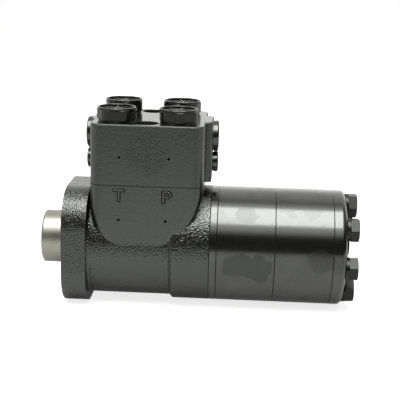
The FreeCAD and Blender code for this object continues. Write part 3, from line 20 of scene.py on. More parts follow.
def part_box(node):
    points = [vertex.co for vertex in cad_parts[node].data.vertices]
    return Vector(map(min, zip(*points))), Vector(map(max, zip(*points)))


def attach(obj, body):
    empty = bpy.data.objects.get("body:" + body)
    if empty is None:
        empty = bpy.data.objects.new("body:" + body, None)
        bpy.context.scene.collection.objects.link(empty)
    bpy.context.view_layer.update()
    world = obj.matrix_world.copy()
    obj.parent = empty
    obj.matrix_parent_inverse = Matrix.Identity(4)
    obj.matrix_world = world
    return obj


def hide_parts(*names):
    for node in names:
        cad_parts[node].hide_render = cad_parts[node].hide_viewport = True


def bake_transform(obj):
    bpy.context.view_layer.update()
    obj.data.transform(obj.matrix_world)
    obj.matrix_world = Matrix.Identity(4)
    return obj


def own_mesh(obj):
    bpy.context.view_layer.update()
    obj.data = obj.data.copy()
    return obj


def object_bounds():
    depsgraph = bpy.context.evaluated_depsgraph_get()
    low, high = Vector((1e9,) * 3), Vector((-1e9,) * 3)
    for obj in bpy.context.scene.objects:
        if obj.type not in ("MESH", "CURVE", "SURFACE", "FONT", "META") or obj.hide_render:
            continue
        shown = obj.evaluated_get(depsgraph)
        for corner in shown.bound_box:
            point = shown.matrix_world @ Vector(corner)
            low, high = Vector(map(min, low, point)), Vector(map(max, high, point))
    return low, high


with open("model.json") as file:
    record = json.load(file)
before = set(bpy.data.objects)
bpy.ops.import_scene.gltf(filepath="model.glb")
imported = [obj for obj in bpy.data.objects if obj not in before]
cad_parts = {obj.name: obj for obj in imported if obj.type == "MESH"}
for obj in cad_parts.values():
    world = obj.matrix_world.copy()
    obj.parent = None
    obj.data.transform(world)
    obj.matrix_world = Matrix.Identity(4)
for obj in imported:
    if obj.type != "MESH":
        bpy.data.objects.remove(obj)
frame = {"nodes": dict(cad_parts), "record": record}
cad_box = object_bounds()
nodes = frame["nodes"]
MM = 0.001
print("solids in the frame:", len(nodes))
print("box in mm:", [round(c / MM, 1) for corner in cad_box for c in corner])

# %% [markdown]
# ## Writing shader maths as sums
#
# A finish in Blender is a graph of nodes. Placing Math nodes one by one hides what they compute, so a small
# class wraps the output of a node and lets Python's own signs add the Math nodes: `1 - mask * 0.5` becomes a
# multiply and a subtract. All other nodes are made by one method that takes the type, the settings and the
# inputs.

# %% Wire
class Wire:
    """The output of a node, ready to be used in sums."""

    def __init__(self, finish, socket):
        self.finish = finish
        self.socket = socket

    def combine(self, operation, first, second):
        return self.finish.node("Math", {"operation": operation}, {0: first, 1: second})

    def __add__(self, other):
        return self.combine("ADD", self, other)

    def __sub__(self, other):
        return self.combine("SUBTRACT", self, other)

    def __rsub__(self, other):
        return self.combine("SUBTRACT", other, self)

    def __mul__(self, other):
        return self.combine("MULTIPLY", self, other)

    __radd__ = __add__
    __rmul__ = __mul__


print("sums of wires ready")


# %% Finish
class Finish:
    """A material: constant values of its shader, and the nodes that vary it over the surface."""

    def __init__(self, name, **constants):
        self.material = bpy.data.materials.new(name)
        self.material.use_nodes = True
        self.tree = self.material.node_tree
        self.shader = self.tree.nodes["Principled BSDF"]
        for socket, value in constants.items():
            self.shader.inputs[socket.replace("_", " ")].default_value = value

    def node(self, kind, settings=None, sockets=None, output=0):
        """A node of that kind: settings first, then values or wires for its sockets."""
        made = self.tree.nodes.new("ShaderNode" + kind)
        for name, value in (settings or {}).items():
            setattr(made, name, value)
        for name, value in (sockets or {}).items():
            if isinstance(value, Wire):
                self.tree.links.new(value.socket, made.inputs[name])
            else:
                made.inputs[name].default_value = value
        return Wire(self, made.outputs[output])

    def feed(self, socket, wire):
        """Joins a wire to one of the shader's inputs."""
        self.tree.links.new(wire.socket, self.shader.inputs[socket])

    def place(self):
        """Position on the object in millimetres, so that every grain below is written at its real size."""
        spot = self.node("TexCoord", output="Object")
        return self.node("VectorMath", {"operation": "SCALE"}, {0: spot, "Scale": 1 / MM})

    def parts_of(self, vector):
        """The x, y and z of a vector as three wires."""
        outputs = self.node("SeparateXYZ", sockets={0: vector}).socket.node.outputs
        return [Wire(self, outputs[k]) for k in range(3)]

    def times(self, vector, factors):
        """A vector whose three parts are each multiplied by a factor."""
        return self.node("VectorMath", {"operation": "MULTIPLY"}, {0: vector, 1: factors})

    def distance(self, place, centre):
        """How far a place is from a fixed point."""
        return self.node("VectorMath", {"operation": "DISTANCE"}, {0: place, 1: centre}, output="Value")

    def grain(self, place, size, detail=2.0, roughness=0.5):
        """Soft noise from 0 to 1 whose spots are about that many millimetres wide."""
        return self.node("TexNoise", sockets={
            "Vector": place, "Scale": 1 / size, "Detail": detail, "Roughness": roughness})

    def step(self, value, start, end):
        """0 below start and 1 above end, with a soft change between them."""
        return self.node("MapRange", {"interpolation_type": "SMOOTHSTEP"}, {
            "Value": value, "From Min": start, "From Max": end})

    def blend(self, factor, first, second):
        """A colour between two colours."""
        return self.node("Mix", {"data_type": "RGBA"}, {0: factor, 6: first, 7: second}, output=2)

    def raise_by(self, height):
        """Lets a height in millimetres stand out on the surface."""
        bump = self.node("Bump", sockets={"Strength": 1.0, "Distance": MM, "Height": height})
        self.feed("Normal", bump)


print("finish helpers ready")

# %% [markdown]
# ## Dark enamel
#
# The enamel is almost black with a hint of warm grey, and glossy enough to mirror the table. A refractive
# index of 1.74, well above that of real paint, gives it the strong mirror that the photograph shows; the base
# colour only fills the dark band of the barrel. The spray leaves a faint orange peel of one or two
# millimetres, which breaks the edge of each reflection. One function makes the coat, and each piece asks for
# its own peel, gloss and index.

# %% The enamel coat
ENAMEL_DARK = (0.0042, 0.0044, 0.0036, 1)
ENAMEL_LIGHT = (0.0080, 0.0083, 0.0070, 1)
ENAMEL_INDEX = 1.74
ENAMEL_TINT = (0.955, 1.0, 0.945, 1)
CLOUD_SIZE, CLOUD_GLOSS, PEEL_GLOSS = 22, 0.08, 0.05


def enamel(name, peel_height, peel_size=1.3, index=ENAMEL_INDEX, roughness=None):
    """The coat alone; returns the finish, the place on it and the height of its peel, to be raised later."""
    coat = Finish(name, IOR=index, Specular_Tint=ENAMEL_TINT)
    place = coat.place()
    cloud = coat.grain(place, CLOUD_SIZE, detail=3)
    peel = coat.grain(place, peel_size, detail=1.5)
    coat.feed("Base Color", coat.blend(cloud, ENAMEL_DARK, ENAMEL_LIGHT))
    if roughness:
        coat.feed("Roughness", roughness + (cloud - 0.5) * CLOUD_GLOSS + (peel - 0.5) * PEEL_GLOSS)
    return coat, place, peel * peel_height


print("enamel ready, index", ENAMEL_INDEX)

# %% [markdown]
# ## Cast iron under the enamel
#
# The housing keeps the skin of its sand mould under the paint: grains a little over a millimetre wide, on low
# lumps of about six, that glitter wherever a curved rim turns past the lamp. The port face and the two end
# faces were machined before painting and are smooth, and on the standing walls of the port block the grain
# is only a tenth as high. All of this lives on one solid, so the height of the grain is multiplied by masks
# that are 0 on the smooth faces. The frame's boxes say where those faces are.

# %% Masks on the casting
housing_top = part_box("housing")[1]
port_face, rear_face = housing_top.z / MM, housing_top.x / MM
GRAIN_FADES, GRAIN_GONE = 2.2, 1.6
FACE_MARGIN, FACE_SLACK = 0.35, 0.1
WALL_TILT, WALL_FOOT, WALL_START = (0.01, 0.08), (6, 13), (19, 20.5)

casting, place, peel = enamel("enamel_on_casting", 0.02)
x, y, z = casting.parts_of(place)
facing_up = casting.parts_of(casting.node("TexCoord", output="Normal"))[2]
below_port_face = 1 - casting.step(z, port_face - GRAIN_FADES, port_face - GRAIN_GONE)
before_rear_face = 1 - casting.step(x, rear_face - FACE_MARGIN, rear_face - FACE_SLACK)
behind_mounting_face = casting.step(x, FACE_SLACK, FACE_MARGIN)
cast = below_port_face * before_rear_face * behind_mounting_face
upright_wall = 1 - casting.step(facing_up * facing_up, *WALL_TILT)
walls = upright_wall * casting.step(z, *WALL_FOOT) * casting.step(x, *WALL_START)
print("machined faces at z", round(port_face, 1), "and x", round(rear_face, 1), "mm")

# %% Sand skin
BEAD_SIZE, BEAD_HEIGHT = 1.3, 0.10
SPRAY_SIZE, SPRAY_HEIGHT = 1.2, 0.46
LUMP_SIZE, LUMP_HEIGHT = 6.0, 0.08
WALL_SHARE = 0.10

beads = casting.node("TexVoronoi", output="Distance", sockets={
    "Vector": place, "Scale": 1 / BEAD_SIZE, "Randomness": 1.0})
spray = casting.grain(place, SPRAY_SIZE, detail=1) - 0.5
lumps = casting.grain(place, LUMP_SIZE, detail=2) - 0.5
skin = beads * beads * -BEAD_HEIGHT + spray * SPRAY_HEIGHT + lumps * LUMP_HEIGHT
rough_skin = cast * (1 - walls * (1 - WALL_SHARE)) * skin
print("sand skin: beads of", BEAD_SIZE, "mm, lumps of", LUMP_SIZE, "mm")

# %% [markdown]
# High on the front wall there is a patch of pits, drawn out along the shaft: a noise that is squeezed in x
# gives wide, low spots. The narrow rim of the port face is left dull by the tool that trimmed it. Heights are
# summed and raised once, because a shader has only one normal.

# %% Pits, gloss and the summed height
PATCH_CENTRE, PATCH_RANGE = (64.0, -42.5, 78.0), (9, 22)
PATCH_SIZE, PATCH_HEIGHT = 0.85, 0.46
PATCH_CLOUD_SIZE, PATCH_CLOUD = 6, (0.36, 0.52)
FINE_SIZE, FINE_HEIGHT = 2.2, 0.09
RIM_START, RIM_END, RIM_FACING = 1.1, 0.9, (0.85, 0.95)
CAST_ROUGHNESS, WALL_DULLER, RIM_DULLER, CLOUD_DULLER = 0.14, 0.10, 0.4, 0.06

stretched = casting.times(place, (0.6, 1.0, 1.0))
near_patch = 1 - casting.step(casting.distance(place, PATCH_CENTRE), *PATCH_RANGE)
patch = near_patch * casting.step(casting.grain(place, PATCH_CLOUD_SIZE, detail=3), *PATCH_CLOUD)
pitted = patch * (casting.grain(stretched, PATCH_SIZE, detail=1.5) - 0.5) * PATCH_HEIGHT
fine = walls * (casting.grain(stretched, FINE_SIZE, detail=2) - 0.5) * FINE_HEIGHT
casting.raise_by(peel + rough_skin + pitted + fine)

port_rim = casting.step(z, port_face - RIM_START, port_face - RIM_END)
port_rim = port_rim * (1 - casting.step(facing_up, *RIM_FACING))
cloud = casting.grain(place, 14, detail=3)
casting.feed("Roughness", CAST_ROUGHNESS + walls * WALL_DULLER + port_rim * RIM_DULLER + cloud * CLOUD_DULLER)
print("casting ready, nodes:", len(casting.tree.nodes))

# %% [markdown]
# ## Turned and painted pieces
#
# The distributor plate, the gear rings and the end cover were turned before they were painted, so their coat
# is the smoothest on the object. It mirrors the lamp twice: in the enamel, and in a clear coat over it. The
# clear coat is thin and dull in blotches. A noise scatters faint ones, and a table places the plain ones,
# each with a radius that another noise makes ragged. The strongest of all of them counts, so they are joined
# by their maximum.

# %% The gear stack
BLOTCHES = {  # centre in millimetres: radius and strength
    (131.7, -45.0, -6.5): (9, 1), (149.2, -44.8, -8.0): (11, 1), (140.5, -45.3, -4.0): (8, 1),
    (140.5, -32.4, 31.9): (8, 0.45), (198.0, -45.5, 0.5): (10, 0.7),
}
RAGGED_SIZE, RAGGED_REACH, BLOTCH_EDGE = 9, 10, 1.0
FAINT_SIZE, FAINT_RANGE, FAINT_STRENGTH = 17, (0.50, 0.53), 0.22
STACK_ROUGHNESS, BLOTCH_DULLER, STACK_CLOUD = 0.16, 0.14, 0.03
CLEAR_WEIGHT, CLEAR_LOSS = 0.72, 0.6

stack, place, peel = enamel("enamel_on_gear_stack", 0.030, peel_size=1.7, index=1.62)
stack.shader.inputs["Coat Roughness"].default_value = 0.17
ragged = (stack.grain(place, RAGGED_SIZE, detail=1) - 0.5) * RAGGED_REACH
blotch = stack.step(stack.grain(place, FAINT_SIZE, detail=1), *FAINT_RANGE) * FAINT_STRENGTH
for centre, (radius, strength) in BLOTCHES.items():
    away = stack.distance(place, centre) + ragged
    near = (1 - stack.step(away, radius - BLOTCH_EDGE, radius + BLOTCH_EDGE)) * strength
    blotch = stack.node("Math", {"operation": "MAXIMUM"}, {0: blotch, 1: near})
cloud = stack.grain(place, 5, detail=2)
stack.feed("Roughness", STACK_ROUGHNESS + blotch * BLOTCH_DULLER + cloud * STACK_CLOUD)
stack.feed("Coat Weight", CLEAR_WEIGHT - blotch * CLEAR_LOSS)
stack.raise_by(peel)
print("gear stack ready, blotches:", len(BLOTCHES))

# %% [markdown]
# Bolts, washers and valve plugs got the same coat in a thinner layer over a plain forged or turned surface,
# so their peel is hardly raised and their mirror is weaker.

# %% Bolts, washers and valve plugs
def thin_coat(name, roughness, peel_height, peel_size, index):
    """Enamel with nothing but its own peel."""
    coat, place, peel = enamel(name, peel_height, peel_size, index, roughness)
    coat.raise_by(peel)
    return coat


bolts = thin_coat("enamel_on_bolts", 0.30, 0.006, 2.4, 1.40)
washers = thin_coat("enamel_on_washers", 0.30, 0.006, 2.4, 1.45)
valve_plugs = thin_coat("enamel_on_valve_plugs", 0.22, 0.008, 2.0, ENAMEL_INDEX)
print("thin coats:", [coat.material.name for coat in (bolts, washers, valve_plugs)])

# %% [markdown]
# ## Plastic, rubber and bare metals
#
# The shipping plugs are moulded black plastic with a duller skin, and the seals are rubber with a soft bloom.
# The steel inside is hardened and darker than the stub, the valve springs are oiled, the needle cage is
# brass. None of them has a pattern of its own, so one function makes them all: the tone and the gloss change
# softly together, over a fine bump.

# %% Plastic and rubber
def plain_finish(name, dark, light, roughness, tone_size, bump, detail=4, **constants):
    """Two tones, roughness as (least, spread) and bump as (size, height) in millimetres."""
    plain = Finish(name, **constants)
    place = plain.place()
    tone = plain.grain(place, tone_size, detail=detail)
    plain.feed("Base Color", plain.blend(tone, dark, light))
    plain.feed("Roughness", roughness[0] + tone * roughness[1])
    plain.raise_by(plain.grain(place, bump[0], detail=2) * bump[1])
    return plain


plastic = plain_finish("black_moulded_plastic", (0.006, 0.0062, 0.0048, 1), (0.013, 0.0132, 0.0105, 1),
                       roughness=(0.22, 0.10), tone_size=9, bump=(0.5, 0.01), detail=3, IOR=1.46)
rubber = plain_finish("black_seal_rubber", (0.010, 0.010, 0.010, 1), (0.022, 0.021, 0.020, 1),
                      roughness=(0.48, 0.18), tone_size=3, bump=(0.6, 0.012), IOR=1.5)
print("ready:", plastic.material.name, "and", rubber.material.name)


# %% Hidden metals
def plain_metal(name, dark, light, roughness, tone_size):
    """Metal whose bump is an eighth as wide as the spots of its tone."""
    return plain_finish(name, dark, light, (roughness, 0.12), tone_size, (tone_size / 8, 0.008), Metallic=1.0)


hardened = plain_metal("hardened_steel", (0.30, 0.29, 0.27, 1), (0.44, 0.42, 0.39, 1), 0.24, 5)
oiled = plain_metal("oiled_spring_steel", (0.10, 0.095, 0.085, 1), (0.20, 0.19, 0.17, 1), 0.30, 3)
brass = plain_metal("cage_brass", (0.56, 0.37, 0.13, 1), (0.70, 0.49, 0.20, 1), 0.28, 3)
bonded = plain_metal("bonded_seal_washer", (0.07, 0.07, 0.065, 1), (0.14, 0.135, 0.125, 1), 0.35, 3)
print("hidden metals:", [metal.material.name for metal in (hardened, oiled, brass, bonded)])

# %% [markdown]
# The input stub is the one bright piece: ground steel with fine turning marks round the shaft. A mark is a
# ring, so its height depends on the place along the shaft alone, and a noise that is stretched across the
# shaft gives it.

# %% Ground steel of the stub
STUB_DARK, STUB_LIGHT = (0.275, 0.271, 0.232, 1), (0.37, 0.366, 0.315, 1)
MARK_SIZE, MARK_HEIGHT, MARK_STRETCH = 0.35, 0.006, (1.0, 0.02, 0.02)
STUB_ROUGHNESS, MARK_DULLER, STAIN_DULLER = 0.31, 0.11, 0.06

ground = Finish("ground_steel", Metallic=1.0)
place = ground.place()
marks = ground.grain(ground.times(place, MARK_STRETCH), MARK_SIZE, detail=3, roughness=0.7)
stain = ground.grain(place, 6, detail=4)
ground.feed("Base Color", ground.blend(stain, STUB_DARK, STUB_LIGHT))
ground.feed("Roughness", STUB_ROUGHNESS + marks * MARK_DULLER + stain * STAIN_DULLER)
ground.raise_by(marks * MARK_HEIGHT)
print("ground steel ready, marks of", MARK_SIZE, "mm")

# %% [markdown]
# ## Giving the solids their finish
#
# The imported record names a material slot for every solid. A table from slot to finish is enough to dress them
# all; the meshes themselves stay as they are.

# %% Slots to finishes
finish_of_slot = {
    "casting": casting, "gear_stack": stack, "bolt_steel": bolts, "washer_steel": washers,
    "ground_steel": ground, "hard_steel": hardened, "spring_steel": oiled, "cage_brass": brass,
    "valve_steel": valve_plugs, "seal_washer": bonded, "plug_plastic": plastic, "seal_rubber": rubber,
}
slot_of_node = {part["node"]: part["material_slot"] for part in frame["record"]["subparts"]}


def dress(piece, finish):
    """The piece's only material."""
    piece.data.materials.clear()
    piece.data.materials.append(finish.material)


for name, solid in nodes.items():
    dress(solid, finish_of_slot[slot_of_node[name]])
print("dressed solids:", len(nodes))

# %% [markdown]
# ## Making pieces
#
# The new pieces are modelled with bmesh, which works on a loose mesh before it becomes an object. `add_piece`
# closes that work: it merges what touches, turns all faces outwards, names the object, gives it the slot's
# finish and lets it ride on its body, so that it moves when the solid does. Blender's own guess at what is
# outside fails on a deep cup, so each closed shell is tested by its volume, which is positive only when its
# faces look out.

# %% Faces outward
def face_outward(shape):
    """Turns every closed shell of the mesh the right way out: its faces then hold a positive volume."""
    bmesh.ops.recalc_face_normals(shape, faces=shape.faces)
    left = set(shape.faces)
    while left:
        shell, reached = [], [left.pop()]
        while reached:
            face = reached.pop()
            shell.append(face)
            near = {other for edge in face.edges for other in edge.link_faces} & left
            left -= near
            reached += near
        if sum(face.calc_center_median().dot(face.normal) * face.calc_area() for face in shell) < 0:
            bmesh.ops.reverse_faces(shape, faces=shell)


print("faces can be turned outward")

# %% From bmesh to a piece
MERGE_WITHIN = 0.004


def object_from(name, shape):
    """An object of the scene from a bmesh."""
    mesh = bpy.data.meshes.new(name)
    shape.to_mesh(mesh)
    shape.free()
    made = bpy.data.objects.new(name, mesh)
    bpy.context.scene.collection.objects.link(made)
    return made


def add_piece(name, shape, body, slot, smooth=30):
    """A finished object from a bmesh; edges sharper than that many degrees stay sharp."""
    bmesh.ops.remove_doubles(shape, verts=shape.verts, dist=MERGE_WITHIN * MM)
    face_outward(shape)
    for face in shape.faces:
        face.smooth = True
    for edge in shape.edges:
        edge.smooth = len(edge.link_faces) != 2 or edge.calc_face_angle(0) < math.radians(smooth)
    piece = object_from(name, shape)
    dress(piece, finish_of_slot[slot])
    if body:
        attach(piece, body)
    return piece


print("pieces can be added")


# %% Points and edge loops
def mm(*place):
    """A point in millimetres as a vector in metres."""
    return Vector(place) * MM


def edges_of(geometry):
    return [part for part in geometry if isinstance(part, bmesh.types.BMEdge)]


def verts_of(geometry):
    return [part for part in geometry if isinstance(part, bmesh.types.BMVert)]


def pull_loop(shape, edges, centre, scale, rise):
    """Extrudes an edge loop, moves it up and scales it about a standing axis."""
    made = bmesh.ops.extrude_edge_only(shape, edges=edges)["geom"]
    points = verts_of(made)
    bmesh.ops.scale(shape, verts=points, vec=(scale, scale, 1), space=Matrix.Translation(-centre))
    bmesh.ops.translate(shape, verts=points, vec=(0, 0, rise * MM))
    return edges_of(made)


def close_ends(shape):
    """Fills the openings that spinning or extruding a section leaves."""
    bmesh.ops.holes_fill(shape, edges=[edge for edge in shape.edges if len(edge.link_faces) == 1])


print("loop helpers ready")

# %% [markdown]
# ## Shipping plugs
#
# Each port is shut by a moulded plug: a hexagon head with well rounded corners, and on top of it a round rim
# round a cup. Thin webs cross the cup, as a moulder puts them where a solid lump would shrink. The hexagon is
# a circle of six points whose corners are bevelled into arcs; its top edge is bridged to the round rim, and
# the rim is pulled up, over and down into the cup by extruding and scaling its edge loop.

# %% The hexagon head
PLUG_FLATS, PLUG_CORNER, EDGE_ROUND = 28.0, 6.5, 0.35


def hexagon_head(shape, centre, turn, head):
    """The head, open at the top; returns the edge loop there."""
    placed = Matrix.Translation(centre) @ Matrix.Rotation(turn, 4, "Z")
    radius = PLUG_FLATS / 2 / math.cos(math.pi / 6) * MM
    bmesh.ops.create_circle(shape, cap_ends=True, segments=6, radius=radius, matrix=placed)
    bmesh.ops.bevel(shape, geom=shape.verts[:], offset=PLUG_CORNER * math.tan(math.pi / 6) * MM,
                    affect="VERTICES", segments=8, profile=0.5, material=-1)
    loop = pull_loop(shape, shape.edges[:], centre, 1.0, head - EDGE_ROUND)
    return pull_loop(shape, loop, centre, 1 - 2 * EDGE_ROUND / PLUG_FLATS, EDGE_ROUND)


print("hexagon of", PLUG_FLATS, "mm with corners of", PLUG_CORNER, "mm")

# %% The rim and the cup
RIM_OUTER, RIM_WALL, RIM_HEIGHT = 29.2, 1.7, 1.6
CUP_DEPTH, FLOOR_ROUND = 4.2, 0.8


def rim_and_cup(shape, centre, head, loop):
    """Bridges the head to a round rim and pulls the rim up, over and down to the floor of the cup."""
    above = Matrix.Translation(centre + Vector((0, 0, head * MM)))
    ring = bmesh.ops.create_circle(shape, segments=96, radius=RIM_OUTER / 2 * MM, matrix=above)
    rim = list({edge for vert in ring["verts"] for edge in vert.link_edges})
    bmesh.ops.bridge_loops(shape, edges=loop + rim)
    outer, inner = RIM_OUTER / 2, RIM_OUTER / 2 - RIM_WALL
    for scale, rise in (
            (1.0, RIM_HEIGHT - EDGE_ROUND),
            ((outer - EDGE_ROUND) / outer, EDGE_ROUND),
            ((inner + EDGE_ROUND) / (outer - EDGE_ROUND), 0),
            (inner / (inner + EDGE_ROUND), -EDGE_ROUND),
            (1.0, EDGE_ROUND - CUP_DEPTH + FLOOR_ROUND),
            ((inner - FLOOR_ROUND) / inner, -FLOOR_ROUND)):
        rim = pull_loop(shape, rim, centre, scale, rise)
    bmesh.ops.holes_fill(shape, edges=rim)


print("rim of", RIM_OUTER, "mm round a cup of", CUP_DEPTH, "mm")

# %% The webs in the cup
WEB_COUNT, WEB_THICK, WEB_DROP, WEB_ROUND = 3, 1.3, 0.9, 0.3


def add_webs(shape, centre, turn, head):
    """Walls from rim to rim on the floor of the cup, with a rounded crest."""
    floor = centre.z + (head + RIM_HEIGHT - CUP_DEPTH) * MM
    tall = (CUP_DEPTH - WEB_DROP) * MM
    span = 2 * (RIM_OUTER / 2 - RIM_WALL) * MM
    for k in range(WEB_COUNT):
        placed = (Matrix.Translation(Vector((centre.x, centre.y, floor + tall / 2)))
                  @ Matrix.Rotation(turn + math.pi * k / WEB_COUNT, 4, "Z")
                  @ Matrix.Diagonal((span, WEB_THICK * MM, tall, 1)))
        web = bmesh.ops.create_cube(shape, size=1, matrix=placed)["verts"]
        crest = [edge for edge in {e for v in web for e in v.link_edges}
                 if all(v.co.z > floor + tall * 0.9 for v in edge.verts)]
        bmesh.ops.bevel(shape, geom=crest, offset=WEB_ROUND * MM, affect="EDGES", segments=3,
                        profile=0.5, material=-1)


print("webs in each cup:", WEB_COUNT)

# %% The four plugs
PLUG_TURNS = {"t": 0.52, "p": 0.18, "l": 0.30, "r": 0.75}


def port_plug(port, turn):
    """The moulded plug in place of a plug's solid, on top of its seal ring."""
    low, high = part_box(f"port_plug_{port}")
    centre = (low + high) / 2
    centre.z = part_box(f"port_seal_{port}")[1].z
    head = (high.z - centre.z) / MM - RIM_HEIGHT
    shape = bmesh.new()
    rim_and_cup(shape, centre, head, hexagon_head(shape, centre, turn, head))
    add_webs(shape, centre, turn, head)
    piece = add_piece(f"shipping_plug_{port}", shape, "housing", "plug_plastic")
    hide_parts(f"port_plug_{port}")
    return piece


for port, turn in PLUG_TURNS.items():
    plug = port_plug(port, turn)
    print(plug.name, "faces:", len(plug.data.polygons))

# %% [markdown]
# ## Letters cast on the front of the block
#
# Two of the ports carry a raised letter on the front face, T for the tank and P for the pump, which every
# maker uses. They are text turned into a mesh: an outline with a little depth and a rounded edge, widened and
# laid on the face. The shade in the corner round each stroke is painted: a second, wider and flatter copy of
# the letter lies under the first, in a dark and dull finish.

# %% Text on the front face
LETTER_HEIGHT, CAPITAL_SHARE = 9.2, 0.7
FRONT_FACE = -42.5


def raised_letter(name, text, x, z, wide, relief, spread, finish):
    """Text as a mesh that stands that far out of the front face, its strokes spread to both sides."""
    outline = bpy.data.curves.new(name, "FONT")
    outline.body = text
    outline.size = LETTER_HEIGHT / CAPITAL_SHARE * MM
    outline.extrude = relief / 2 * MM
    outline.bevel_depth = relief / 3 * MM
    outline.bevel_resolution = 2
    outline.align_x = "CENTER"
    outline.offset = spread * MM
    maker = bpy.data.objects.new(name + "_outline", outline)
    bpy.context.scene.collection.objects.link(maker)
    bpy.context.view_layer.update()
    mesh = bpy.data.meshes.new_from_object(maker)
    bpy.data.objects.remove(maker)
    shape = bmesh.new()
    shape.from_mesh(mesh)
    bpy.data.meshes.remove(mesh)
    foot = Matrix.Translation(mm(x, FRONT_FACE, z - LETTER_HEIGHT / 2))
    stood = foot @ Matrix.Rotation(math.pi / 2, 4, "X")
    bmesh.ops.transform(shape, matrix=stood @ Matrix.Diagonal((wide, 1, 1, 1)), verts=shape.verts)
    piece = add_piece(name, shape, "housing", "casting")
    dress(piece, finish)
    return piece


print("letters are", LETTER_HEIGHT, "mm high")

# %% T and P
LETTER_RELIEF, LETTER_SPREAD = 0.80, -0.30
SHADE_RELIEF, SHADE_SPREAD = 0.16, 0.64
LETTERS = {"T": (43.6, 45.4, 1.05), "P": (79.3, 45.3, 1.2)}

# painted shade: a near-black, dull finish that barely mirrors, for the wider copy under each letter and for the
# parting ridge
painted_shade = plain_finish("painted_shade_round_letters", (0.003, 0.003, 0.0025, 1), (0.008, 0.008, 0.007, 1),
                      roughness=(0.5, 0.2), tone_size=2.5, bump=(0.8, 0.05), detail=2, IOR=1.2)
for text, (x, z, wide) in LETTERS.items():
    name = "port_letter_" + text.lower()
    rim = raised_letter(name + "_rim", text, x, z, wide, SHADE_RELIEF, SHADE_SPREAD, painted_shade)
    letter = raised_letter(name, text, x, z, wide, LETTER_RELIEF, LETTER_SPREAD, casting)
    print(letter.name, "faces:", len(letter.data.polygons), "and rim:", len(rim.data.polygons))

# %% [markdown]
# ## The parting line
#
# The two halves of the sand mould met at one height, and the iron that crept between them leaves a low ridge
# all round the block. A rounded rectangle is a flat face with bevelled corners; its loop is pulled up, out
# and back in to make the ridge's section, and the last loop is joined to the first.

# %% Ridge round the block
RIDGE_HEIGHT, RIDGE_REACH, RIDGE_SINK, RIDGE_HALF = 52.9, 0.16, 0.3, 0.5
BLOCK_LEFT, BLOCK_RIGHT, BLOCK_HALF, BLOCK_CORNER = 20.9, 106.6, 42.5, 8.5


def parting_ridge():
    """A closed ring with a low trapezoid section, sunk a little into the wall."""
    middle = mm((BLOCK_LEFT + BLOCK_RIGHT) / 2, 0, RIDGE_HEIGHT - RIDGE_HALF)
    half_length = (BLOCK_RIGHT - BLOCK_LEFT) / 2
    shape = bmesh.new()
    flat = Matrix.Translation(middle) @ Matrix.Diagonal((half_length * MM, BLOCK_HALF * MM, 1, 1))
    bmesh.ops.create_grid(shape, x_segments=1, y_segments=1, size=1, matrix=flat)
    bmesh.ops.bevel(shape, geom=shape.verts[:], offset=BLOCK_CORNER * MM, affect="VERTICES", segments=12,
                    profile=0.5, material=-1)
    bmesh.ops.delete(shape, geom=shape.faces[:], context="FACES_ONLY")
    in_wall, proud = 1 - RIDGE_SINK / BLOCK_HALF, 1 + RIDGE_REACH / BLOCK_HALF
    bmesh.ops.scale(shape, verts=shape.verts[:], vec=(in_wall, in_wall, 1),
                    space=Matrix.Translation(-middle))
    first = loop = shape.edges[:]
    for scale, rise in ((proud / in_wall, 0.7), (1.0, 0.6), (in_wall / proud, 0.7)):
        loop = pull_loop(shape, loop, middle, scale, RIDGE_HALF * rise)
    bmesh.ops.bridge_loops(shape, edges=first + loop)
    piece = add_piece("parting_ridge", shape, "housing", "casting", smooth=60)
    # painted shade: the ridge wears the dark, dull finish of the letters' outlines, so it reads as a shaded
    # line
    dress(piece, painted_shade)
    return piece


ridge = parting_ridge()
print(ridge.name, "faces:", len(ridge.data.polygons))

# %% [markdown]
# ## Screw threads
#
# The mounting holes in the flange and the two holes in the port face are tapped. A thread is a small V that
# climbs as it turns: one closed triangle, spun round the hole's axis with a little travel at every step. Its
# ends are closed by filling the open triangles.

# %% Thread turns
THREAD_RADIUS, THREAD_PITCH, THREAD_STEPS = 4.25, 1.5, 20
ROOT_SINK, ROOT_START, ROOT_END, CREST_SHARE, LEAD_IN = 0.05, 0.04, 0.96, 0.42, 0.6


def thread_turns(name, mouth, inward, turns):
    """Turns of thread lining a hole from its mouth inward."""
    inward = Vector(inward).normalized()
    beside = inward.orthogonal().normalized()
    root, crest = THREAD_RADIUS + ROOT_SINK, THREAD_RADIUS - THREAD_PITCH * CREST_SHARE
    corners = ((root, ROOT_START), (root, THREAD_PITCH * ROOT_END), (crest, THREAD_PITCH / 2))
    shape = bmesh.new()
    points = [shape.verts.new(mouth + (beside * radius + inward * (along + LEAD_IN)) * MM)
              for radius, along in corners]
    section = [shape.edges.new((points[k], points[(k + 1) % 3])) for k in range(3)]
    bmesh.ops.spin(shape, geom=points + section, cent=mouth, axis=inward, angle=2 * math.pi * turns,
                   steps=THREAD_STEPS * turns, dvec=inward * (THREAD_PITCH / THREAD_STEPS) * MM,
                   use_merge=False)
    close_ends(shape)
    return add_piece(name, shape, "housing", "hard_steel")


print("thread pitch:", THREAD_PITCH, "mm")

# %% Threads in the six open holes
MOUNT_CIRCLE, MOUNT_TURNS = 82.5, 8
BLOCK_HOLE_X, BLOCK_HOLE_Y, BLOCK_HOLE_SINK, BLOCK_TURNS = 62.6, 31.0, 1.8, 7

across = MOUNT_CIRCLE / 2 * math.cos(math.pi / 4)
for k, (side, rise) in enumerate(((1, 1), (-1, 1), (-1, -1), (1, -1))):
    mouth = mm(0, across * side, across * rise)
    mount_thread = thread_turns(f"mount_thread_{k}", mouth, (1, 0, 0), MOUNT_TURNS)
for k, side in enumerate((-1, 1)):
    mouth = mm(BLOCK_HOLE_X, side * BLOCK_HOLE_Y, port_face - BLOCK_HOLE_SINK)
    block_thread = thread_turns(f"block_thread_{k}", mouth, (0, 0, -1), BLOCK_TURNS)
print("faces of a thread:", len(mount_thread.data.polygons), "and", len(block_thread.data.polygons))
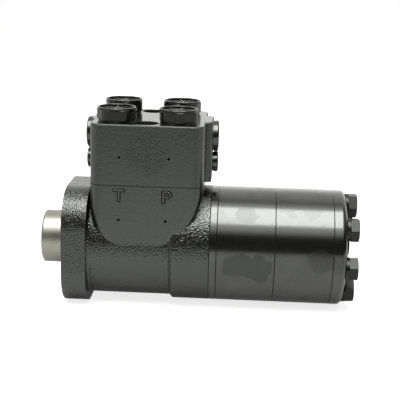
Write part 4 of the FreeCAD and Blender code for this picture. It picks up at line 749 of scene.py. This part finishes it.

# %% [markdown]
# ## Valve springs and leaf springs
#
# A valve spring gets shorter as its poppet or ball opens. A finished coil, as long as the solid, stands for
# each solid spring. The wire's section is a small circle, spun round the spring's axis with travel at every
# step. The first and the last turn travel only one wire's width and lie flat on their neighbours, as on a
# ground compression spring.

# %% One coil
WIRE_DIA, WIRE_SIDES, CLOSED_PITCH = 1.2, 10, 1.02
SPRING_TURNS, STEPS_PER_TURN = 5, 20


def coil_shape(low, high):
    """A coil along x that fills a box given in millimetres."""
    wire, middle = WIRE_DIA / 2, (low + high) / 2
    closed = WIRE_DIA * CLOSED_PITCH
    free = (high.x - low.x - WIRE_DIA - 2 * closed) / (SPRING_TURNS - 2)
    shape = bmesh.new()
    start = Matrix.Translation(mm(low.x + wire, high.y - wire, middle.z))
    bmesh.ops.create_circle(shape, segments=WIRE_SIDES, radius=wire * MM, matrix=start)
    section = shape.verts[:] + shape.edges[:]
    for turns, pitch in ((1, closed), (SPRING_TURNS - 2, free), (1, closed)):
        section = bmesh.ops.spin(
            shape, geom=section, cent=middle * MM, axis=(1, 0, 0), angle=2 * math.pi * turns,
            steps=STEPS_PER_TURN * turns, dvec=mm(pitch / STEPS_PER_TURN, 0, 0),
            use_merge=False)["geom_last"]
    close_ends(shape)
    return shape


print("turns of a valve spring:", SPRING_TURNS)

# %% The four valve springs
VALVE_JOINTS = {
    "relief_valve": "relief_open", "shock_valve": "shock_open",
    "suction_valve_left": "suction_left_open", "suction_valve_right": "suction_right_open",
}
joint_rows = {joint["name"]: joint for joint in frame["record"]["behaviour"]["joints"]}


def valve_coil(name, node, joint):
    """A coil spring in place of a spring node, as long as the node."""
    low, high = [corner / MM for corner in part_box(node)]
    piece = add_piece(name, coil_shape(low, high), "housing", slot_of_node[node], smooth=50)
    row = joint_rows[joint]
    fixed = row["deforming_nodes"][0]["fixed_end_x_m"]
    length = max(abs(low.x * MM - fixed), abs(high.x * MM - fixed))
    1 - row["range_m"][1] / length
    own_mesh(piece)
    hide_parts(node)
    return piece


for valve, joint in VALVE_JOINTS.items():
    coil = valve_coil(valve + "_coil", valve + "_spring", joint)

# %% [markdown]
# The leaf springs that centre the spool run right across it into the slots of the sleeve, and they bend as
# the spool turns against the sleeve. Here the pack is built in two halves, above and below the middle. A leaf
# is a thin rectangle, extruded outwards step by step; the two outer leaves bow away from the flat ones in the
# middle.

# %% One leaf
LEAF_THICK, LEAF_BOW, LEAF_STEPS = 0.7, 1.2, 16
LEAF_CLEARANCE, LEAF_SPACE = 0.02, 0.05
leaf_low, leaf_high = [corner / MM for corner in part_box("neutral_springs")]


def add_leaf(shape, side, way, inner, bow):
    """A leaf whose inner face is that far out at its end, and a bow further out in the middle."""
    near, far = side * (inner + bow), side * (inner + bow + LEAF_THICK)
    corners = [shape.verts.new(mm(x, y, 0)) for x, y in (
        (leaf_low.x, near), (leaf_high.x, near), (leaf_high.x, far), (leaf_low.x, far))]
    loop = [shape.edges.new((corners[k], corners[(k + 1) % 4])) for k in range(4)]
    for step in range(LEAF_STEPS):
        sink = bow * (2 * step + 1) / LEAF_STEPS ** 2
        made = bmesh.ops.extrude_edge_only(shape, edges=loop)["geom"]
        bmesh.ops.translate(shape, verts=verts_of(made),
                            vec=mm(0, -side * sink, way * leaf_high.z / LEAF_STEPS))
        loop = edges_of(made)


print("leaves reach", round(leaf_high.z, 1), "mm from the middle")


def leaf_half(name, way):
    """The half of the leaf pack above (1) or below (-1) the middle: a flat and a bowed leaf on each side."""
    shape = bmesh.new()
    for side in (-1, 1):
        add_leaf(shape, side, way, LEAF_CLEARANCE, 0)
        add_leaf(shape, side, way, LEAF_THICK + LEAF_SPACE, LEAF_BOW)
    close_ends(shape)
    piece = add_piece(name, shape, None, slot_of_node["neutral_springs"])
    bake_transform(piece)
    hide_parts("neutral_springs")
    return piece


leaves = [leaf_half("leaf_springs_upper", 1), leaf_half("leaf_springs_lower", -1)]
print("leaf springs faces:", len(leaves[0].data.polygons))

# %% [markdown]
# ## The stage
#
# To the camera the table and the world behind it are white. The enamel sees another studio. The lamp is one
# big softbox above and in front of the object, with a soft halo round it in the world, and its mirror image
# is the bright band along the barrel. The world behind the object is bright and gives the rims their light
# edge. On the camera's side it is dark, apart from a pale part at the far left that the stub and the flange
# mirror. The table's reflection is painted: for mirrored rays alone the table glows softly in the lower half
# of the barrel, weaker near the camera and beside the block, with a painted shadow under the object.

# %% Table
TABLE_HALF = 1.6
BLACK, WHITE = (0, 0, 0, 1), (1, 1, 1, 1)

table_shape = bmesh.new()
bmesh.ops.create_grid(table_shape, x_segments=1, y_segments=1, size=TABLE_HALF,
                      matrix=Matrix.Translation(Vector((0.1, 0, cad_box[0].z))))
table = object_from("table", table_shape)
print("table at z", round(cad_box[0].z / MM, 1), "mm")

# %% Paper on the table
PAPER_COLOUR = (0.52, 0.52, 0.515, 1)
PAPER_CENTRE, FAR_RANGE = (100.0, 0.0, -45.0), (180, 620)
CAMERA_RANGE, UNDER_RANGE = (-750, -180), (-85, -25)
BLOCK_MIDDLE, ASIDE_START, ASIDE_END, ASIDE_FRONT = 64, (100, 170), (400, 500), (-130, -60)
SEEN_GLOW, SEEN_FAR = 0.78, 0.22
MIRROR_GLOW, CAMERA_LOSS, UNDER_LOSS, ASIDE_LOSS = 0.39, 0.31, 0.7, 0.85

paper = Finish("white_paper", Roughness=0.9, Base_Color=PAPER_COLOUR, Emission_Strength=1.0)
place = paper.place()
x, y, z = paper.parts_of(place)
seen = paper.node("LightPath", output="Is Camera Ray")
mirrored = paper.node("LightPath", output="Is Glossy Ray")
far = paper.step(paper.distance(place, PAPER_CENTRE), *FAR_RANGE)
near_camera = 1 - paper.step(y, *CAMERA_RANGE)
painted_shadow_under = paper.step(y, *UNDER_RANGE)
from_block = paper.node("Math", {"operation": "ABSOLUTE"}, {0: x - BLOCK_MIDDLE})
aside = paper.step(from_block, *ASIDE_START) * (1 - paper.step(from_block, *ASIDE_END))
aside = aside * (1 - paper.step(y, *ASIDE_FRONT))
# painted reflection: the table glows for mirrored rays alone, weaker near the camera and beside the block, and
# a painted shadow darkens it under the object
painted_reflection = (MIRROR_GLOW - near_camera * CAMERA_LOSS) * (1 - painted_shadow_under * UNDER_LOSS) * (1 - aside * ASIDE_LOSS)
glow = seen * (far * SEEN_FAR + SEEN_GLOW) + mirrored * painted_reflection
paper.feed("Emission Color", paper.blend(glow, BLACK, WHITE))
dress(table, paper)
print("paper ready, nodes:", len(paper.tree.nodes))

# %% World
BEHIND_RANGE, OVERHEAD_RANGE, LEFT_RANGE = (0.0, 0.55), (0.30, 0.60), (-0.97, -0.68)
BACKDROP_LOW, BACKDROP_HIGH = (1.26, 1.26, 1.24, 1), (0.98, 0.98, 0.97, 1)
FRONT_DARK, FRONT_LEFT = (0.02, 0.02, 0.019, 1), (0.65, 0.65, 0.64, 1)
LAMP_DIRECTION, HALO_RANGE, HALO_COLOUR = (0.0, -0.36, 0.933), (0.76, 0.95), (2.3, 2.3, 2.26, 1)


class Sky(Finish):
    """The world's nodes, built with the same helpers as a finish."""

    def __init__(self, tree):
        self.tree = tree
        self.shader = tree.nodes["Background"]


world = bpy.data.worlds.new("studio")
bpy.context.scene.world = world
world.use_nodes = True
sky = Sky(world.node_tree)
direction = sky.node("TexCoord", output="Generated")
x, y, z = sky.parts_of(direction)
backdrop = sky.blend(sky.step(z, *OVERHEAD_RANGE), BACKDROP_LOW, BACKDROP_HIGH)
front = sky.blend(1 - sky.step(x, *LEFT_RANGE), FRONT_DARK, FRONT_LEFT)
toward_lamp = sky.node("VectorMath", {"operation": "DOT_PRODUCT"}, {0: direction, 1: LAMP_DIRECTION},
                       output="Value")
walls_around = sky.blend(sky.step(y, *BEHIND_RANGE), front, backdrop)
studio = sky.blend(sky.step(toward_lamp, *HALO_RANGE), walls_around, HALO_COLOUR)
sky.feed("Color", sky.blend(sky.node("LightPath", output="Is Camera Ray"), studio, WHITE))
sky.shader.inputs["Strength"].default_value = 1.0
print("world ready, nodes:", len(sky.tree.nodes))

# %% Softbox
SOFTBOX_RADIANCE = 7.3
SOFTBOX_ALONG, SOFTBOX_ACROSS = 0.70, 0.74
softbox = bpy.data.lights.new("softbox", "AREA")
softbox.shape = "RECTANGLE"
softbox.size, softbox.size_y = SOFTBOX_ALONG, SOFTBOX_ACROSS
softbox.energy = SOFTBOX_RADIANCE * math.pi * SOFTBOX_ALONG * SOFTBOX_ACROSS
softbox.color = (1.0, 0.995, 0.98)
softbox_object = bpy.data.objects.new("softbox", softbox)
softbox_object.location = (0.10, -0.40, 1.00)
bpy.context.scene.collection.objects.link(softbox_object)
print("softbox watts:", round(softbox.energy, 1))

# %% [markdown]
# ## The camera
#
# The camera looks a little down on the front and is held slightly askew, as in the photograph. Its place
# follows from the direction, the distance and the point it aims at; the three axes of its turn are the
# columns of a matrix.

# %% Camera
AZIMUTH, ELEVATION, ROLL = math.radians(2.20), math.radians(13.57), math.radians(1.67)
DISTANCE, LENS, SENSOR_WIDTH = 0.7727, 87.57, 36.0
AIM = mm(103.15, 0, 34.0)
back = Vector((math.sin(AZIMUTH) * math.cos(ELEVATION), -math.cos(AZIMUTH) * math.cos(ELEVATION),
               math.sin(ELEVATION)))
level = (-back).cross(Vector((0, 0, 1))).normalized()
upright = level.cross(-back)
right = level * math.cos(ROLL) + upright * math.sin(ROLL)
up = upright * math.cos(ROLL) - level * math.sin(ROLL)
turned = Matrix((right, up, back)).transposed().to_4x4()
camera = bpy.data.cameras.new("camera")
camera.lens, camera.sensor_width = LENS, SENSOR_WIDTH
camera.clip_start, camera.clip_end = 0.01, 20
camera_object = bpy.data.objects.new("camera", camera)
camera_object.matrix_world = Matrix.Translation(AIM + back * DISTANCE) @ turned
bpy.context.scene.collection.objects.link(camera_object)
bpy.context.scene.camera = camera_object
bpy.context.scene.view_settings.view_transform = "Standard"
print("camera at", [round(c, 3) for c in camera_object.location])

# %% The end
print("scene ready")
